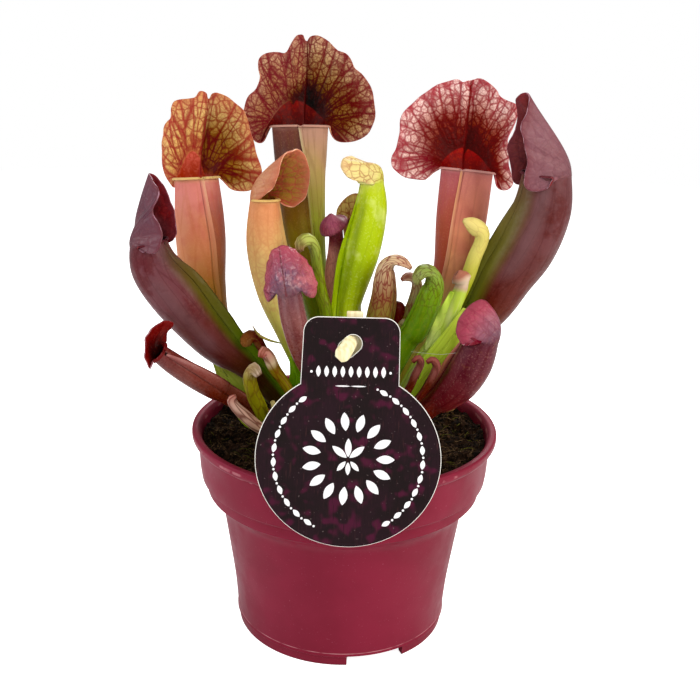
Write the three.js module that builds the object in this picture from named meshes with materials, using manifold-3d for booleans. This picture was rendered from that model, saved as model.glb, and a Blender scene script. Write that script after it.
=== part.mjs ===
// A potted pitcher plant: a moulded plastic pot of peat, a rosette of pitcher leaves on one rhizome,
// and a card tag hung on a wooden stake. Millimetres, +Z up. The origin is under the pot's axis, on
// the surface that the pot stands on, and the tag faces -Y.
import * as THREE from 'three';
import { mergeVertices } from 'three/addons/utils/BufferGeometryUtils.js';
import Module from 'manifold-3d';

const wasm = await Module();
wasm.setup();

// ---- driving dimensions ----
const rimRadius = 60;
const potHeight = 83.7;
const potWall = 1.4;
const potSides = 32;
const baseTop = 6;
const gap = 0.3;                    // clearance between pieces that touch
const footSlotWidth = 23;
const firstFootSlot = -70;          // degrees from +X, and then every quarter turn
const drainRadius = 4.5;
const drainOffset = 33;
const soilLevel = 76.5;
const crown = { x: 0.5, y: 3, z: 72, halfX: 25, halfY: 23, halfZ: 9 };
const footDepth = 68.5;             // height of the leaf bases, inside the rhizome
const leafWall = 0.9;
const wingEdge = 0.9;               // thickness of a leaf's wing
const lipRoll = 1.9;
const footGap = 0.45;               // clearance round a leaf base in its hole
const tag = { x: 1.8, lean: 20, rise: 13.1, radius: 31.6, tabWidth: 33.4, tabTop: 47.4, corner: 5.4, card: 0.7 };
const tagHole = { x: -0.6, rise: 37.3, radius: 3.1, length: 9, turn: -48 };
const stake = { x: 2.8, front: -38.9, width: 5.8, thickness: 1.6, top: 141, bottom: 34 };
const peg = [[2.8, -37.9, 133, 2.4, 1.1], [1.6, -42, 131.1, 2.4, 1.2], [0.2, -45, 129.1, 2.5, 1.3],
  [-1.8, -47.3, 126.4, 2.5, 1.2], [-3, -48, 124.6, 1.4, 0.6]];

const rad = THREE.MathUtils.degToRad;

// ---- solids ----
// Welds a geometry's points, drops flat triangles and turns the faces outwards.
function weld(geometry) {
  geometry.deleteAttribute('normal');
  geometry.deleteAttribute('uv');
  const merged = mergeVertices(geometry, 1e-4);
  const p = merged.attributes.position;
  const old = merged.index.array;
  const index = [];
  let volume = 0;
  for (let i = 0; i < old.length; i += 3) {
    const [a, b, c] = [old[i], old[i + 1], old[i + 2]];
    if (a === b || b === c || c === a) continue;
    index.push(a, b, c);
    const [va, vb, vc] = [a, b, c].map((k) => new THREE.Vector3().fromBufferAttribute(p, k));
    volume += va.dot(vb.cross(vc));
  }
  if (volume < 0) index.reverse();
  merged.setIndex(index);
  return merged;
}

function toSolid(geometry) {
  const g = weld(geometry);
  const vertProperties = Float32Array.from(g.attributes.position.array);
  const triVerts = Uint32Array.from(g.index.array);
  return new wasm.Manifold(new wasm.Mesh({ numProp: 3, vertProperties, triVerts }));
}

function toGeometry(solid) {
  const { vertProperties, triVerts } = solid.getMesh();
  const g = new THREE.BufferGeometry();
  g.setAttribute('position', new THREE.BufferAttribute(Float32Array.from(vertProperties), 3));
  g.setIndex(Array.from(triVerts));
  return g;
}

function lathe(profile) {
  const points = profile.map(([r, z]) => new THREE.Vector2(r, z));
  return new THREE.LatheGeometry(points, potSides).rotateX(Math.PI / 2);
}

// ---- pot: a rounded rim, a straight collar, a slanted shoulder, a tapered body and four feet ----
const footRing = [[38.6, 4.2], [38.6, 0], [41.6, 0], [42, 3.6]];
const seamBead = [[42.7, 4], [42.7, 4.7], [42.5, 5.4]];
const bodyWall = [[42.8, 9], [43.5, 18], [46, 36], [48.6, 53.4]];
const shoulder = [[52.8, 58], [54.2, 59.5]];
const collar = [[57, 68.6], [57.5, 79.6]];
const rim = [[59.3, 80], [rimRadius, 80.8], [rimRadius, 82.9], [59.1, potHeight], [57.6, potHeight], [56.5, 82.9]];

// The inside of the wall, from the rim down to the base.
function innerWall(clearance) {
  const outline = [...bodyWall, ...shoulder, ...collar].reverse();
  return outline.map(([r, z]) => [r - potWall - clearance, z + (z > 53 && z < 60 ? 0.9 : 0)]);
}

function makePot() {
  const profile = [
    [0, 4.2], ...footRing, ...seamBead, ...bodyWall, ...shoulder, ...collar, ...rim,
    ...innerWall(0), [41.2, baseTop], [0, baseTop],
  ];
  let pot = toSolid(lathe(profile));
  for (let k = 0; k < 4; k++) {
    const turn = rad(firstFootSlot + 90 * k);
    const slot = new THREE.BoxGeometry(12, footSlotWidth, 8).translate(39, 0, 0.5).rotateZ(turn);
    const drain = new THREE.CylinderGeometry(drainRadius, drainRadius, 8, 12).rotateX(Math.PI / 2)
      .translate(drainOffset, 0, baseTop - 1).rotateZ(turn);
    pot = pot.subtract(toSolid(slot)).subtract(toSolid(drain));
  }
  return toGeometry(pot);
}

// ---- soil: fills the pot, with a lumpy top that sinks a little at the wall ----
function soilHeight(x, y) {
  const r = Math.hypot(x, y);
  const lumps = 0.8 * Math.sin(0.21 * x + 1.3) * Math.cos(0.17 * y) + 0.5 * Math.sin(0.43 * y + 0.31 * x);
  return soilLevel + lumps + 1.2 * Math.cos(Math.min(1, r / 56) * Math.PI);
}

function makeSoil(cutters) {
  const wall = innerWall(gap).filter(([, z]) => z < 75).reverse();
  const top = [55.8, 46, 36, 24, 0].map((r) => [r, soilLevel]);
  const g = lathe([[0, baseTop + gap], [40.8, baseTop + gap], ...wall, ...top]);
  const p = g.attributes.position;
  for (let i = 0; i < p.count; i++) {
    if (p.getZ(i) > soilLevel - 0.1) p.setZ(i, soilHeight(p.getX(i), p.getY(i)));
  }
  return toGeometry(cutters.reduce((solid, cutter) => solid.subtract(cutter), toSolid(g)));
}

// ---- rhizome: the squat woody crown that every leaf grows from ----
function crownSolid(grow) {
  const g = new THREE.SphereGeometry(1, 16, 8).rotateX(Math.PI / 2);
  const p = g.attributes.position;
  for (let i = 0; i < p.count; i++) {
    const [x, y, z] = [p.getX(i), p.getY(i), p.getZ(i)];
    const bump = 1 + 0.05 * Math.sin(5 * Math.atan2(y, x)) * (1 - z * z);
    p.setXYZ(i, x * bump * (crown.halfX + grow), y * bump * (crown.halfY + grow), z * (crown.halfZ + grow));
  }
  return toSolid(g.translate(crown.x, crown.y, crown.z));
}

// ---- leaves ----
// A leaf follows a spine of stations [x, y, z, half width, half depth], from its foot to its mouth
// or tip. Half depth is the half width where it isn't given.
function spineAt(spine, t) {
  const last = spine.length - 1;
  const i = Math.min(Math.floor(t), last - 1);
  const u = t - i;
  const row = (k) => spine[Math.max(0, Math.min(last, k))];
  return [0, 1, 2, 3, 4].map((c) => {
    const [a, b, d, e] = [row(i - 1)[c], row(i)[c], row(i + 1)[c], row(i + 2)[c]];
    return 0.5 * (2 * b + (d - a) * u + (2 * a - 5 * b + 4 * d - e) * u * u + (3 * b - a - 3 * d + e) * u ** 3);
  });
}

// A leaf's whole spine starts upright in its hole in the rhizome.
function rooted(leaf) {
  const [x, y, r] = leaf.foot;
  const stations = [[x, y, footDepth, r], [x, y, footDepth + 7, r], ...leaf.spine];
  return { ...leaf, spine: stations.map(([sx, sy, sz, a, b = a]) => [sx, sy, sz, a, b]) };
}

// Rings along the spine. Each has its centre, its axis and the directions of its front and side. The
// front is carried along from ring to ring, so that it never flips in a hook.
function ringsOf(leaf) {
  const { spine, rows } = leaf;
  const last = spine.length - 1;
  const first = leaf.foot ? 1 : 0;
  const steps = leaf.foot ? [0] : [];
  for (let k = 0; k <= rows; k++) steps.push(first + (last - first) * (k / rows));
  const rings = steps.map((t) => {
    const [x, y, z, a, b] = spineAt(spine, t);
    const before = spineAt(spine, Math.max(0, t - 0.05));
    const after = spineAt(spine, Math.min(last, t + 0.05));
    const axis = new THREE.Vector3(after[0] - before[0], after[1] - before[1], after[2] - before[2]).normalize();
    return { centre: new THREE.Vector3(x, y, z), a, b, axis, t: t / last };
  });
  let front = new THREE.Vector3(Math.cos(rad(leaf.face)), Math.sin(rad(leaf.face)), 0);
  const order = leaf.outline ? [...rings].reverse() : rings;
  for (const ring of order) {
    front = front.clone().addScaledVector(ring.axis, -front.dot(ring.axis)).normalize();
    ring.front = front;
    ring.side = new THREE.Vector3().crossVectors(ring.axis, front);
  }
  return rings;
}

// Columns run round the leaf from its front: the wing's two faces, the lip, and the lid's columns.
function columnsOf(leaf) {
  if (!leaf.outline) {
    const count = leaf.sides ?? 8;
    return Array.from({ length: count }, (_, j) => ({ angle: rad((360 / count) * (j + 0.5)) }));
  }
  const lip = leaf.outline.length > 9 ? [4, 15, 40, 63, 84] : [5, 22, 52, 84];
  const lidSide = (leaf.outline.length - 3) / 2;
  const half = [...lip];
  for (let i = 1; i <= lidSide; i++) half.push(84 + (96 * i) / (lidSide + 1));
  const all = [...half, 180, ...half.map((d) => 360 - d).reverse()];
  return all.map((d, j) => ({
    angle: rad(d),
    wing: j === 0 ? 1 : j === all.length - 1 ? -1 : 0,
    along: 1 - (d - 84) / 192,       // 0 at the lip's left corner, 1 at its right corner
  }));
}

function wingWidth(leaf, t) {
  const up = (t - 0.28) / 0.68;
  return leaf.wing && up > 0 && up < 1 ? leaf.wing * Math.sin(Math.PI * up) ** 0.7 : 0;
}

function ringPoint(leaf, ring, column, grow) {
  let side = (ring.a + grow) * Math.sin(column.angle);
  let front = (ring.b + grow) * Math.cos(column.angle);
  if (column.wing && grow >= 0) {
    side = column.wing * (wingEdge / 2 + grow);
    front = ring.b + grow + wingWidth(leaf, ring.t);
  }
  return ring.centre.clone().addScaledVector(ring.side, side).addScaledVector(ring.front, front);
}

// A column of the lip rolls outwards. A column of the lid rises from the throat to the lid's margin.
function marginCurve(leaf, ring, column, lidFrame) {
  const p0 = ringPoint(leaf, ring, { angle: column.angle }, 0);
  const out = p0.clone().sub(ring.centre).normalize();
  if (column.along <= 0 || column.along >= 1) {
    const roll = lipRoll * Math.min(1, ring.a / 6);
    return new THREE.CubicBezierCurve3(
      p0,
      p0.clone().addScaledVector(ring.axis, roll * 0.8),
      p0.clone().addScaledVector(ring.axis, roll * 0.7).addScaledVector(out, roll * 0.9),
      p0.clone().addScaledVector(ring.axis, -roll * 0.15).addScaledVector(out, roll * 1.1),
    );
  }
  const [s, u, f] = leaf.outline[Math.round(column.along * (leaf.outline.length - 1))];
  const p3 = ring.centre.clone().addScaledVector(lidFrame.side, s).addScaledVector(lidFrame.front, f);
  p3.z += u;
  const span = p3.distanceTo(p0);
  const p1 = p0.clone().addScaledVector(ring.axis, span * (leaf.rise ?? 0.33));
  const p2 = p0.clone().lerp(p3, 0.66).addScaledVector(lidFrame.front, -(leaf.hood ?? 0) * span);
  return new THREE.CubicBezierCurve3(p0, p1, p2, p3);
}

function closedMesh(outer, inner, firstInner) {
  const n = outer[0].length;
  const points = [];
  const index = [];
  const add = (loops) => loops.map((loop) => loop.map((p) => points.push(p) - 1));
  const centreOf = (loop) => points.push(loop.reduce((s, p) => s.add(p), new THREE.Vector3()).divideScalar(n)) - 1;
  const sheet = (rows, flip) => {
    for (let i = 0; i + 1 < rows.length; i++) {
      for (let j = 0; j < n; j++) {
        const k = (j + 1) % n;
        const quad = [rows[i][j], rows[i][k], rows[i + 1][k], rows[i][j], rows[i + 1][k], rows[i + 1][j]];
        index.push(...(flip ? quad.reverse() : quad));
      }
    }
  };
  const fan = (centre, loop, flip) => {
    for (let j = 0; j < n; j++) {
      const k = (j + 1) % n;
      index.push(...(flip ? [centre, loop[k], loop[j]] : [centre, loop[j], loop[k]]));
    }
  };
  const o = add(outer);
  sheet(o, false);
  fan(centreOf(outer[0]), o[0], true);
  if (inner) {
    const used = inner.slice(firstInner);
    const q = add(used);
    sheet(q, true);
    fan(centreOf(used[0]), q[0], false);
    sheet([o.at(-1), q.at(-1)], false);
  } else {
    fan(centreOf(outer.at(-1)), o.at(-1), false);
  }
  const g = new THREE.BufferGeometry().setFromPoints(points);
  g.setIndex(index);
  return g;
}

// A young or closed leaf: a solid tube that tapers or hooks over at its tip.
function makeBud(leaf) {
  const columns = columnsOf(leaf);
  const loops = ringsOf(leaf).map((ring) => columns.map((c) => ringPoint(leaf, ring, c, 0)));
  return closedMesh(loops, null, 0);
}

// An open pitcher: a hollow tube with a wing down its front, a rolled lip and a lid.
function makePitcher(leaf) {
  const columns = columnsOf(leaf);
  const rings = ringsOf(leaf);
  const mouth = rings.at(-1);
  const front = new THREE.Vector3(Math.cos(rad(leaf.face)), Math.sin(rad(leaf.face)), 0);
  const lidFrame = { front, side: new THREE.Vector3(0, 0, 1).cross(front) };
  const outer = rings.map((ring) => columns.map((c) => ringPoint(leaf, ring, c, 0)));
  const inner = rings.map((ring) => columns.map((c) => ringPoint(leaf, ring, c, -leafWall)));
  const curves = columns.map((c) => marginCurve(leaf, mouth, c, lidFrame));
  for (let i = 1; i <= leaf.lidRows; i++) outer.push(curves.map((curve) => curve.getPoint(i / leaf.lidRows)));
  const n = columns.length;
  for (let i = rings.length; i < outer.length; i++) {
    const above = outer[Math.min(i + 1, outer.length - 1)];
    inner.push(outer[i].map((p, j) => {
      const across = outer[i][(j + 1) % n].clone().sub(outer[i][(j + n - 1) % n]);
      const up = above[j].clone().sub(outer[i - 1][j]);
      return p.clone().addScaledVector(across.cross(up).normalize(), -leafWall);
    }));
  }
  const firstInner = rings.findIndex((ring, i) => i > 2 && ring.a > 3);
  return closedMesh(outer, inner, firstInner);
}

// The plain eight-sided hole that a leaf's base stands in.
function footHole(leaf) {
  const clear = { ...leaf, outline: null, wing: 0, sides: 8 };
  const stretch = 1 / Math.cos(Math.PI / 8);
  const columns = columnsOf(clear);
  const rings = ringsOf(clear);
  const last = rings.findIndex((ring) => ring.centre.z - ring.a > crown.z + crown.halfZ);
  const loops = rings.slice(0, last + 1).map((ring) => {
    const wide = { ...ring, a: (ring.a + footGap) * stretch, b: (ring.b + footGap) * stretch };
    return columns.map((c) => ringPoint(clear, wide, c, 0));
  });
  loops[0].forEach((p) => { p.z -= footGap; });
  return toSolid(closedMesh(loops, null, 0));
}

// Outlines of lids run from the lip's left corner over the top to its right corner, as
// [sideways, up, forwards] from the centre of the mouth.
const leaves = {
  pitcher_tall_centre: {
    foot: [0, 19, 2.8], face: -90, wing: 3.5, rows: 6, lidRows: 4, color: '#8d6a2c',
    spine: [[-8, 25, 105, 4.1], [-13, 29, 126, 5.8], [-17.5, 34, 147, 8], [-20, 41, 171, 9.8], [-21, 49, 193, 11.6, 10.5]],
    outline: [
      [-12, -0.5, 0], [-15.5, -6, -2], [-19.5, -8.6, -4.5], [-23.2, -2.6, -5], [-24.7, 5.5, -8.5],
      [-21.5, 13, -9], [-19, 22.5, -13.5], [-12.5, 29, -13.5], [-3, 36, -17.5], [3.5, 35.8, -16],
      [11, 33.8, -17], [18.5, 28, -13.5], [26.5, 18.5, -13], [29.6, 7.5, -8.5], [27, -2, -6.5],
      [17.5, -6.5, -3], [11.5, -0.5, 0],
    ],
  },
  pitcher_tall_left: {
    foot: [-9, 15, 2.8], face: -90, wing: 3.5, rows: 6, lidRows: 4, color: '#b8863c',
    spine: [[-45, 19, 99, 5.3], [-54, 21, 116, 6.9], [-58, 24, 132, 8.6], [-59.5, 27, 152, 10], [-61, 30, 174, 8.6, 8]],
    outline: [
      [-9.5, -0.5, 0], [-12.2, -4.6, -1.5], [-14.9, 0.3, -4], [-15.3, 9.9, -5], [-15.1, 18, -8.5],
      [-12.6, 23.2, -8.5], [-10.4, 29, -12], [-3.5, 30.8, -11], [0.2, 33.4, -13], [4.7, 32.7, -11.5],
      [11, 30.6, -12.5], [15.6, 27, -10], [18, 20, -10.5], [21, 12.3, -6.5], [24.3, 3, -6],
      [20.3, -3.8, -2.5], [8.5, -0.5, 0],
    ],
  },
  pitcher_tall_right: {
    foot: [12, 14, 2.8], face: -90, wing: 3.5, rows: 6, lidRows: 4, color: '#a8483f',
    spine: [[31, 19, 109, 4.9], [39, 21, 127, 6.9], [43, 24, 143, 8.8], [44.5, 27, 161, 10], [46, 30, 179.5, 10.3, 9.5]],
    outline: [
      [-10, -0.5, 0], [-14, -5.6, -1.5], [-21, -6.2, -4], [-28.2, -1.2, -4.5], [-28, 6, -7.5],
      [-26, 14, -7.5], [-23, 22.5, -11.5], [-12.5, 31, -11.5], [-3, 34.2, -14.5], [4, 34.8, -13],
      [11, 30.5, -13.5], [19.5, 25, -10.5], [18.9, 16.5, -10], [16.8, 9, -7], [19, 0, -6],
      [19, -7.2, -3], [11, -1, 0],
    ],
  },
  pitcher_dark_left: {
    foot: [-16, 7, 2.6], face: -20, wing: 3, rows: 7, lidRows: 3, hood: 0.12, color: '#5c2530',
    spine: [[-36, 3, 103, 5.1], [-48, 1, 114, 8], [-55, 0, 122, 9.2], [-64.5, -1, 134.5, 10.4], [-72.5, -2, 145.5, 9.3], [-75, -2, 153, 7]],
    outline: [
      [-5.5, 1, 5], [-6.5, 4, 9.5], [-7, 10, 7.5], [-7, 16, 5.5], [-6, 20.5, 8], [-3, 25, 4.5], [0, 27.5, 1.5],
      [2.5, 26, 3], [5, 22, 5], [7, 15, 7], [7.3, 8, 8], [6.5, 3.5, 8], [5.5, 0.5, 5],
    ],
  },
  pitcher_dark_right: {
    foot: [17.5, 8, 2.6], face: 200, wing: 2, rows: 7, lidRows: 3, hood: 0.12, color: '#5c2530',
    spine: [[47, 8, 119, 7], [55.5, 7.5, 133, 9.6], [61, 7, 144, 10.9], [67.5, 6, 156, 11.8], [72.5, 6, 170, 11], [73.5, 6, 180, 9.3]],
    outline: [
      [-6.5, -1, 3], [-7, -1.5, 8], [-7, 4, 11.8], [-7.5, 12, 13], [-7, 19, 10.5], [-4.5, 28, 11.5], [0, 33, 12.5],
      [4, 30, 15], [6.5, 22, 16.3], [7, 13, 15.3], [7.5, 4, 13], [7.5, -2, 8], [6.5, -1.5, 3],
    ],
  },
  pitcher_gold: {
    foot: [-7.5, 8.5, 2.4], face: -50, wing: 2.5, rows: 6, lidRows: 3, color: '#c08a3a',
    spine: [[-17, 10, 102, 3.7], [-23, 11, 118, 5.3], [-29, 12, 134, 6.8], [-32.5, 12.5, 152, 7.3], [-33, 14, 169, 5.4]],
    outline: [
      [-5, 0, 2], [-7, 4, 1.5], [-6, 8, 3.5], [-3, 12, 7], [1, 16, 9.5], [5, 18.3, 10.5], [9, 17.8, 10.3],
      [12.3, 14.5, 10.7], [14, 9.5, 10.3], [14, 3.6, 9.5], [11.5, -1, 8], [8, -2.4, 6], [5, -0.3, 2],
    ],
  },
  pitcher_lime: {
    foot: [3.5, 7.5, 2.4], face: 195, wing: 2.5, rows: 6, lidRows: 3, color: '#a8b83a',
    spine: [[-0.5, 8, 112, 3.6], [0.5, 8, 130, 4.8], [5, 9, 151, 6.9], [8, 11, 167, 6], [9, 12, 175, 4.6]],
    outline: [
      [-4, 0, 3.5], [-5, 1.5, 7], [-5, 3, 11], [-3, 8, 13.5], [0, 10.5, 13], [3.5, 7, 14], [5, 2.5, 11.5],
      [5, 1.8, 7], [4, 1, 3.5],
    ],
  },
  pitcher_plum_front: {
    foot: [-4, -4.5, 2.2], face: 90, wing: 2, rows: 5, lidRows: 3, hood: 0.1, color: '#7a3540',
    spine: [[-12, -7, 103, 3.2], [-16, -9, 114, 4.2], [-18.5, -11.5, 125, 4.7], [-21, -14, 137, 4.4]],
    outline: [
      [-4.5, 0, 2], [-8, 2.7, 5], [-11, 7, 7], [-8.7, 14, 6], [-0.5, 20, 3], [5.8, 17.3, 4], [7.6, 12, 7],
      [7.8, 5, 6], [4.5, 0, 2],
    ],
  },
  pitcher_low_left: {
    foot: [-16, -2.5, 2.2], face: -30, wing: 2, rows: 5, lidRows: 3, color: '#6b2a24',
    spine: [[-44, -9, 96, 3], [-50, -12, 101, 3.9], [-57, -15, 107, 4.4], [-64, -18, 113, 4.1], [-69, -20.5, 118, 3.5]],
    outline: [
      [-3.5, -1, 1], [-4, -5.4, -1], [-5, -1, -2.5], [-4, 5.5, -3], [-1, 8.6, -3], [4.5, 10.7, -2], [8.5, 9.6, 0],
      [6, 6.5, -0.5], [3.5, 2.5, 1],
    ],
  },
  pitcher_low_right: {
    foot: [15, -8, 2.4], face: 150, wing: 2, rows: 6, lidRows: 3, hood: 0.1, color: '#6f2a33',
    spine: [[32, -11, 95, 4.2], [38, -14, 101, 5.7], [43, -17, 108, 7.1], [47, -19.5, 116, 7.3], [50, -22, 124, 5.8]],
    outline: [
      [-4.5, 0, 2], [-5.5, 4, 6], [-6, 9, 7.5], [-4, 15, 4], [0, 18.4, 1.3], [4, 15.5, 4], [6, 9, 7.8],
      [5.5, 3, 6], [4.5, 0.5, 2],
    ],
  },
  pitcher_netted_back: {
    foot: [6, 14.5, 1.9], face: -90, rows: 4, lidRows: 3, color: '#8f7a34',
    spine: [[2, 19, 133, 3.3], [2, 23, 148, 3.6], [1, 27, 159, 3.8]],
    outline: [
      [-3.6, 0, 0], [-6.2, 0.5, -2], [-5.8, 5, -3.5], [-2.5, 9, -4], [1, 10.8, -4], [4.6, 9.4, -4], [6.5, 5, -3.5],
      [6, 0, -2], [3.6, 0, 0],
    ],
  },
  bud_purple_cap: {
    foot: [-1, 13, 1.8], face: 200, rows: 7, color: '#8f5048',
    spine: [
      [-4, 15, 126, 2.8], [-6, 16, 139, 3.1], [-5, 16, 151, 3], [-5.3, 16, 158, 3, 2.6], [-6.5, 15.5, 162, 3.8, 1.8],
      [-9.5, 14, 163, 4, 1.3], [-12.5, 12, 160.7, 1.2, 0.7],
    ],
  },
  bud_hooked_centre: {
    foot: [-2, 3.5, 1.6], face: 180, rows: 7, color: '#7d9a34',
    spine: [
      [-7, 3, 123, 2.2], [-10.3, 4.5, 137, 2.3], [-12, 5, 148, 1.9], [-13.8, 6, 155.5, 1.9], [-16.2, 5, 158.4, 1.6],
      [-18.6, 4, 157, 1.4], [-18.9, 3, 154.3, 0.8],
    ],
  },
  bud_veined_hood: {
    foot: [8, 1, 2], face: 0, rows: 8, sides: 10, color: '#8c8a3c',
    spine: [
      [10, 0, 114, 4.6, 4.2], [12, 0, 127, 5.6, 4.8], [13.3, -1, 136, 5, 4.4], [13.5, -2, 143, 4.2, 3.8],
      [14, -2.5, 148.3, 3.6, 2.8], [17, -3, 151, 3.6, 1.7], [20.5, -4, 150.5, 3, 1.2], [23.6, -5, 148.3, 0.9, 0.6],
    ],
  },
  bud_slim_right: {
    foot: [12, 5.5, 1.6], face: 180, rows: 7, color: '#8a8a3c',
    spine: [[19, 3.5, 113, 1.6], [22, 2, 125, 1.9], [25, 1, 133.5, 1.9], [26.6, 0, 140, 1.6], [25, -1, 143.6, 2.3, 1], [21.6, -1.5, 143.2, 0.8, 0.5]],
  },
  bud_green_hook: {
    foot: [4.5, -5, 2], face: 180, rows: 8, sides: 10, color: '#7fa02c',
    spine: [
      [22, -5, 117, 3.8], [26, -6, 124, 4.6], [29, -7, 131, 4.5], [31, -8, 138, 4.1], [32.4, -8, 143.5, 3.4, 3],
      [31.6, -8.3, 147.4, 3, 2], [28.5, -9, 148.6, 2.6, 1.6], [26.2, -9, 145.2, 1.4, 0.9],
    ],
  },
  bud_yellow_hood: {
    foot: [13.5, 1.5, 1.6], face: 180, rows: 8, color: '#c9c94e',
    spine: [
      [34.5, 1, 118, 1.6], [41, 1, 132, 1.9], [45.4, 1.5, 143, 1.9], [48, 2, 152, 2.2], [50.2, 2.5, 158.5, 2.3],
      [50.3, 2.3, 162.2, 2.6, 1.6], [47.6, 2, 164, 2.6, 1.2], [43.6, 1.5, 165.2, 0.9, 0.6],
    ],
  },
  bud_beige_cap: {
    foot: [11, -3.5, 1.8], face: 190, rows: 7, color: '#b5c04a',
    spine: [
      [29.5, -4, 113, 1.9], [35.5, -4, 122, 2.3], [40, -4, 133, 2.9], [42.5, -3.5, 141, 2.9], [43.3, -3.4, 144.6, 3.1, 1.8],
      [41.5, -4.2, 146.3, 2.9, 1.1], [39.2, -5, 145.4, 1, 0.6],
    ],
  },
  bud_dry_cap: {
    foot: [-9, 0.5, 1.6], face: 180, rows: 5, color: '#8a6a44',
    spine: [[-25, -1, 102, 2], [-31, -3, 112, 1.9], [-34, -4, 117.5, 2], [-35.8, -4.3, 120.4, 2.4, 1.3], [-37.6, -5, 118.8, 1.4, 0.8]],
  },
  bud_pink_cap: {
    foot: [-10, -5, 1.6], face: 180, rows: 5, color: '#a3a03f',
    spine: [[-22, -7, 100, 1.9], [-27, -8, 108, 2.3], [-29.3, -9, 113.5, 2.3], [-31, -10, 116.2, 2.2, 1.3], [-32.3, -11, 113.8, 1.2, 0.8]],
  },
  bud_pale_hook: {
    foot: [-14, -9, 1.6], face: 0, rows: 6, color: '#9aa84a',
    spine: [
      [-29, -12, 87, 2], [-33, -13, 95, 2.7], [-35.4, -15, 102, 2.5], [-36.2, -16, 108, 2.3],
      [-34.6, -17.5, 111.8, 2.5, 1.4], [-32.3, -18.3, 109.2, 1.4, 0.8],
    ],
  },
  bud_pink_low: {
    foot: [-16, -13, 1.6], face: 0, rows: 5, color: '#a3705a',
    spine: [[-31, -18.5, 87.5, 2.2], [-36.3, -21, 93, 2.3], [-40.5, -23, 98.3, 2], [-42, -24, 101.6, 1.6], [-40.5, -24.3, 103.3, 0.8]],
  },
  bud_green_tip: {
    foot: [-7, -11, 1.4], face: -90, rows: 4, color: '#a9b552',
    spine: [[-20, -13, 86, 1.5], [-25, -14.5, 92, 1.8], [-27.5, -16.5, 98.3, 0.8]],
  },
  crook_brown_near: {
    foot: [5, -11.5, 1.4], face: 180, rows: 5, color: '#8a4a3c',
    spine: [[22, -13.5, 100, 1.4], [26, -16, 110, 1.5], [27.8, -18, 115.5, 1.4], [26.5, -18.6, 118, 1.2], [24.6, -19, 116.3, 0.7]],
  },
  crook_brown_far: {
    foot: [10, -12.5, 1.4], face: 180, rows: 5, color: '#8a5040',
    spine: [[27, -14.5, 99, 1.4], [32, -17, 109, 1.5], [33.6, -20, 115.3, 1.5], [31.8, -20.6, 118, 1.3], [29.6, -21, 117, 0.7]],
  },
  leaf_lime_flat: {
    foot: [16.5, -3, 1.5], face: -90, rows: 6, color: '#a6c03c',
    spine: [[29.5, -9, 107, 2.7, 0.9], [35, -9.5, 116, 3.4, 0.9], [40, -9.5, 124.4, 3.3, 0.9], [43.6, -9, 132, 2.5, 0.8], [46, -8, 138.2, 0.8, 0.5]],
  },
};

// ---- tag: a card disc with a tab, hung on the stake's peg and leaning on the rim ----
function arc(cx, cy, radius, from, to, steps) {
  return Array.from({ length: steps + 1 }, (_, i) => {
    const angle = rad(from + ((to - from) * i) / steps);
    return new THREE.Vector2(cx + radius * Math.cos(angle), cy + radius * Math.sin(angle));
  });
}

function makeTag() {
  const { radius, rise, corner, tabTop, lean, card } = tag;
  const half = tag.tabWidth / 2;
  const meet = THREE.MathUtils.radToDeg(Math.asin(half / radius));
  const cornerY = rise + tabTop - corner;
  const outline = [
    ...arc(0, rise, radius, 90 + meet, 450 - meet, 36),
    ...arc(half - corner, cornerY, corner, 0, 90, 4),
    ...arc(corner - half, cornerY, corner, 90, 180, 4),
  ];
  const shape = new THREE.Shape(outline);
  const reach = tagHole.length / 2 - tagHole.radius;
  const ends = [90, 270].map((side) => {
    const along = rad(side + tagHole.turn);
    const from = side + tagHole.turn - 90;
    const [cx, cy] = [tagHole.x + reach * Math.cos(along), rise + tagHole.rise + reach * Math.sin(along)];
    return arc(cx, cy, tagHole.radius, from, from + 180, 7);
  });
  shape.holes.push(new THREE.Path(ends.flat()));
  return new THREE.ExtrudeGeometry(shape, { depth: card, bevelEnabled: false })
    .rotateX(Math.PI / 2 - rad(lean))
    .translate(tag.x, -rimRadius - gap * 1.5, potHeight - 1.2);
}

// ---- stake: a flat wooden stick with a rounded top and a peg that the tag hangs on ----
function stick(grow) {
  const half = stake.width / 2 + grow;
  const shape = new THREE.Shape([
    new THREE.Vector2(-half, stake.bottom + 6),
    new THREE.Vector2(0, stake.bottom - grow),
    new THREE.Vector2(half, stake.bottom + 6),
    ...arc(0, stake.top - half, half, 0, 180, 8),
  ]);
  return toSolid(new THREE.ExtrudeGeometry(shape, { depth: stake.thickness + 2 * grow, bevelEnabled: false })
    .rotateX(Math.PI / 2).translate(stake.x, stake.front + stake.thickness + grow, 0));
}

function makeStake() {
  const pegShape = { spine: peg, face: 90, rows: 6, sides: 10 };
  return toGeometry(stick(0).add(toSolid(makeBud(pegShape))));
}

// ---- assembly ----
const pitcherPlant = new THREE.Group();

function addPiece(group, name, geometry, color, roughness) {
  const mesh = new THREE.Mesh(weld(geometry), new THREE.MeshStandardMaterial({ color, roughness, metalness: 0 }));
  mesh.name = name;
  group.add(mesh);
}

const rosette = new THREE.Group();
const feet = [];
for (const [name, { color, ...shape }] of Object.entries(leaves)) {
  const leaf = rooted(shape);
  addPiece(rosette, name, leaf.outline ? makePitcher(leaf) : makeBud(leaf), color, 0.4);
  feet.push(footHole(leaf));
}
const rhizome = feet.reduce((solid, foot) => solid.subtract(foot), crownSolid(0));

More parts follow.
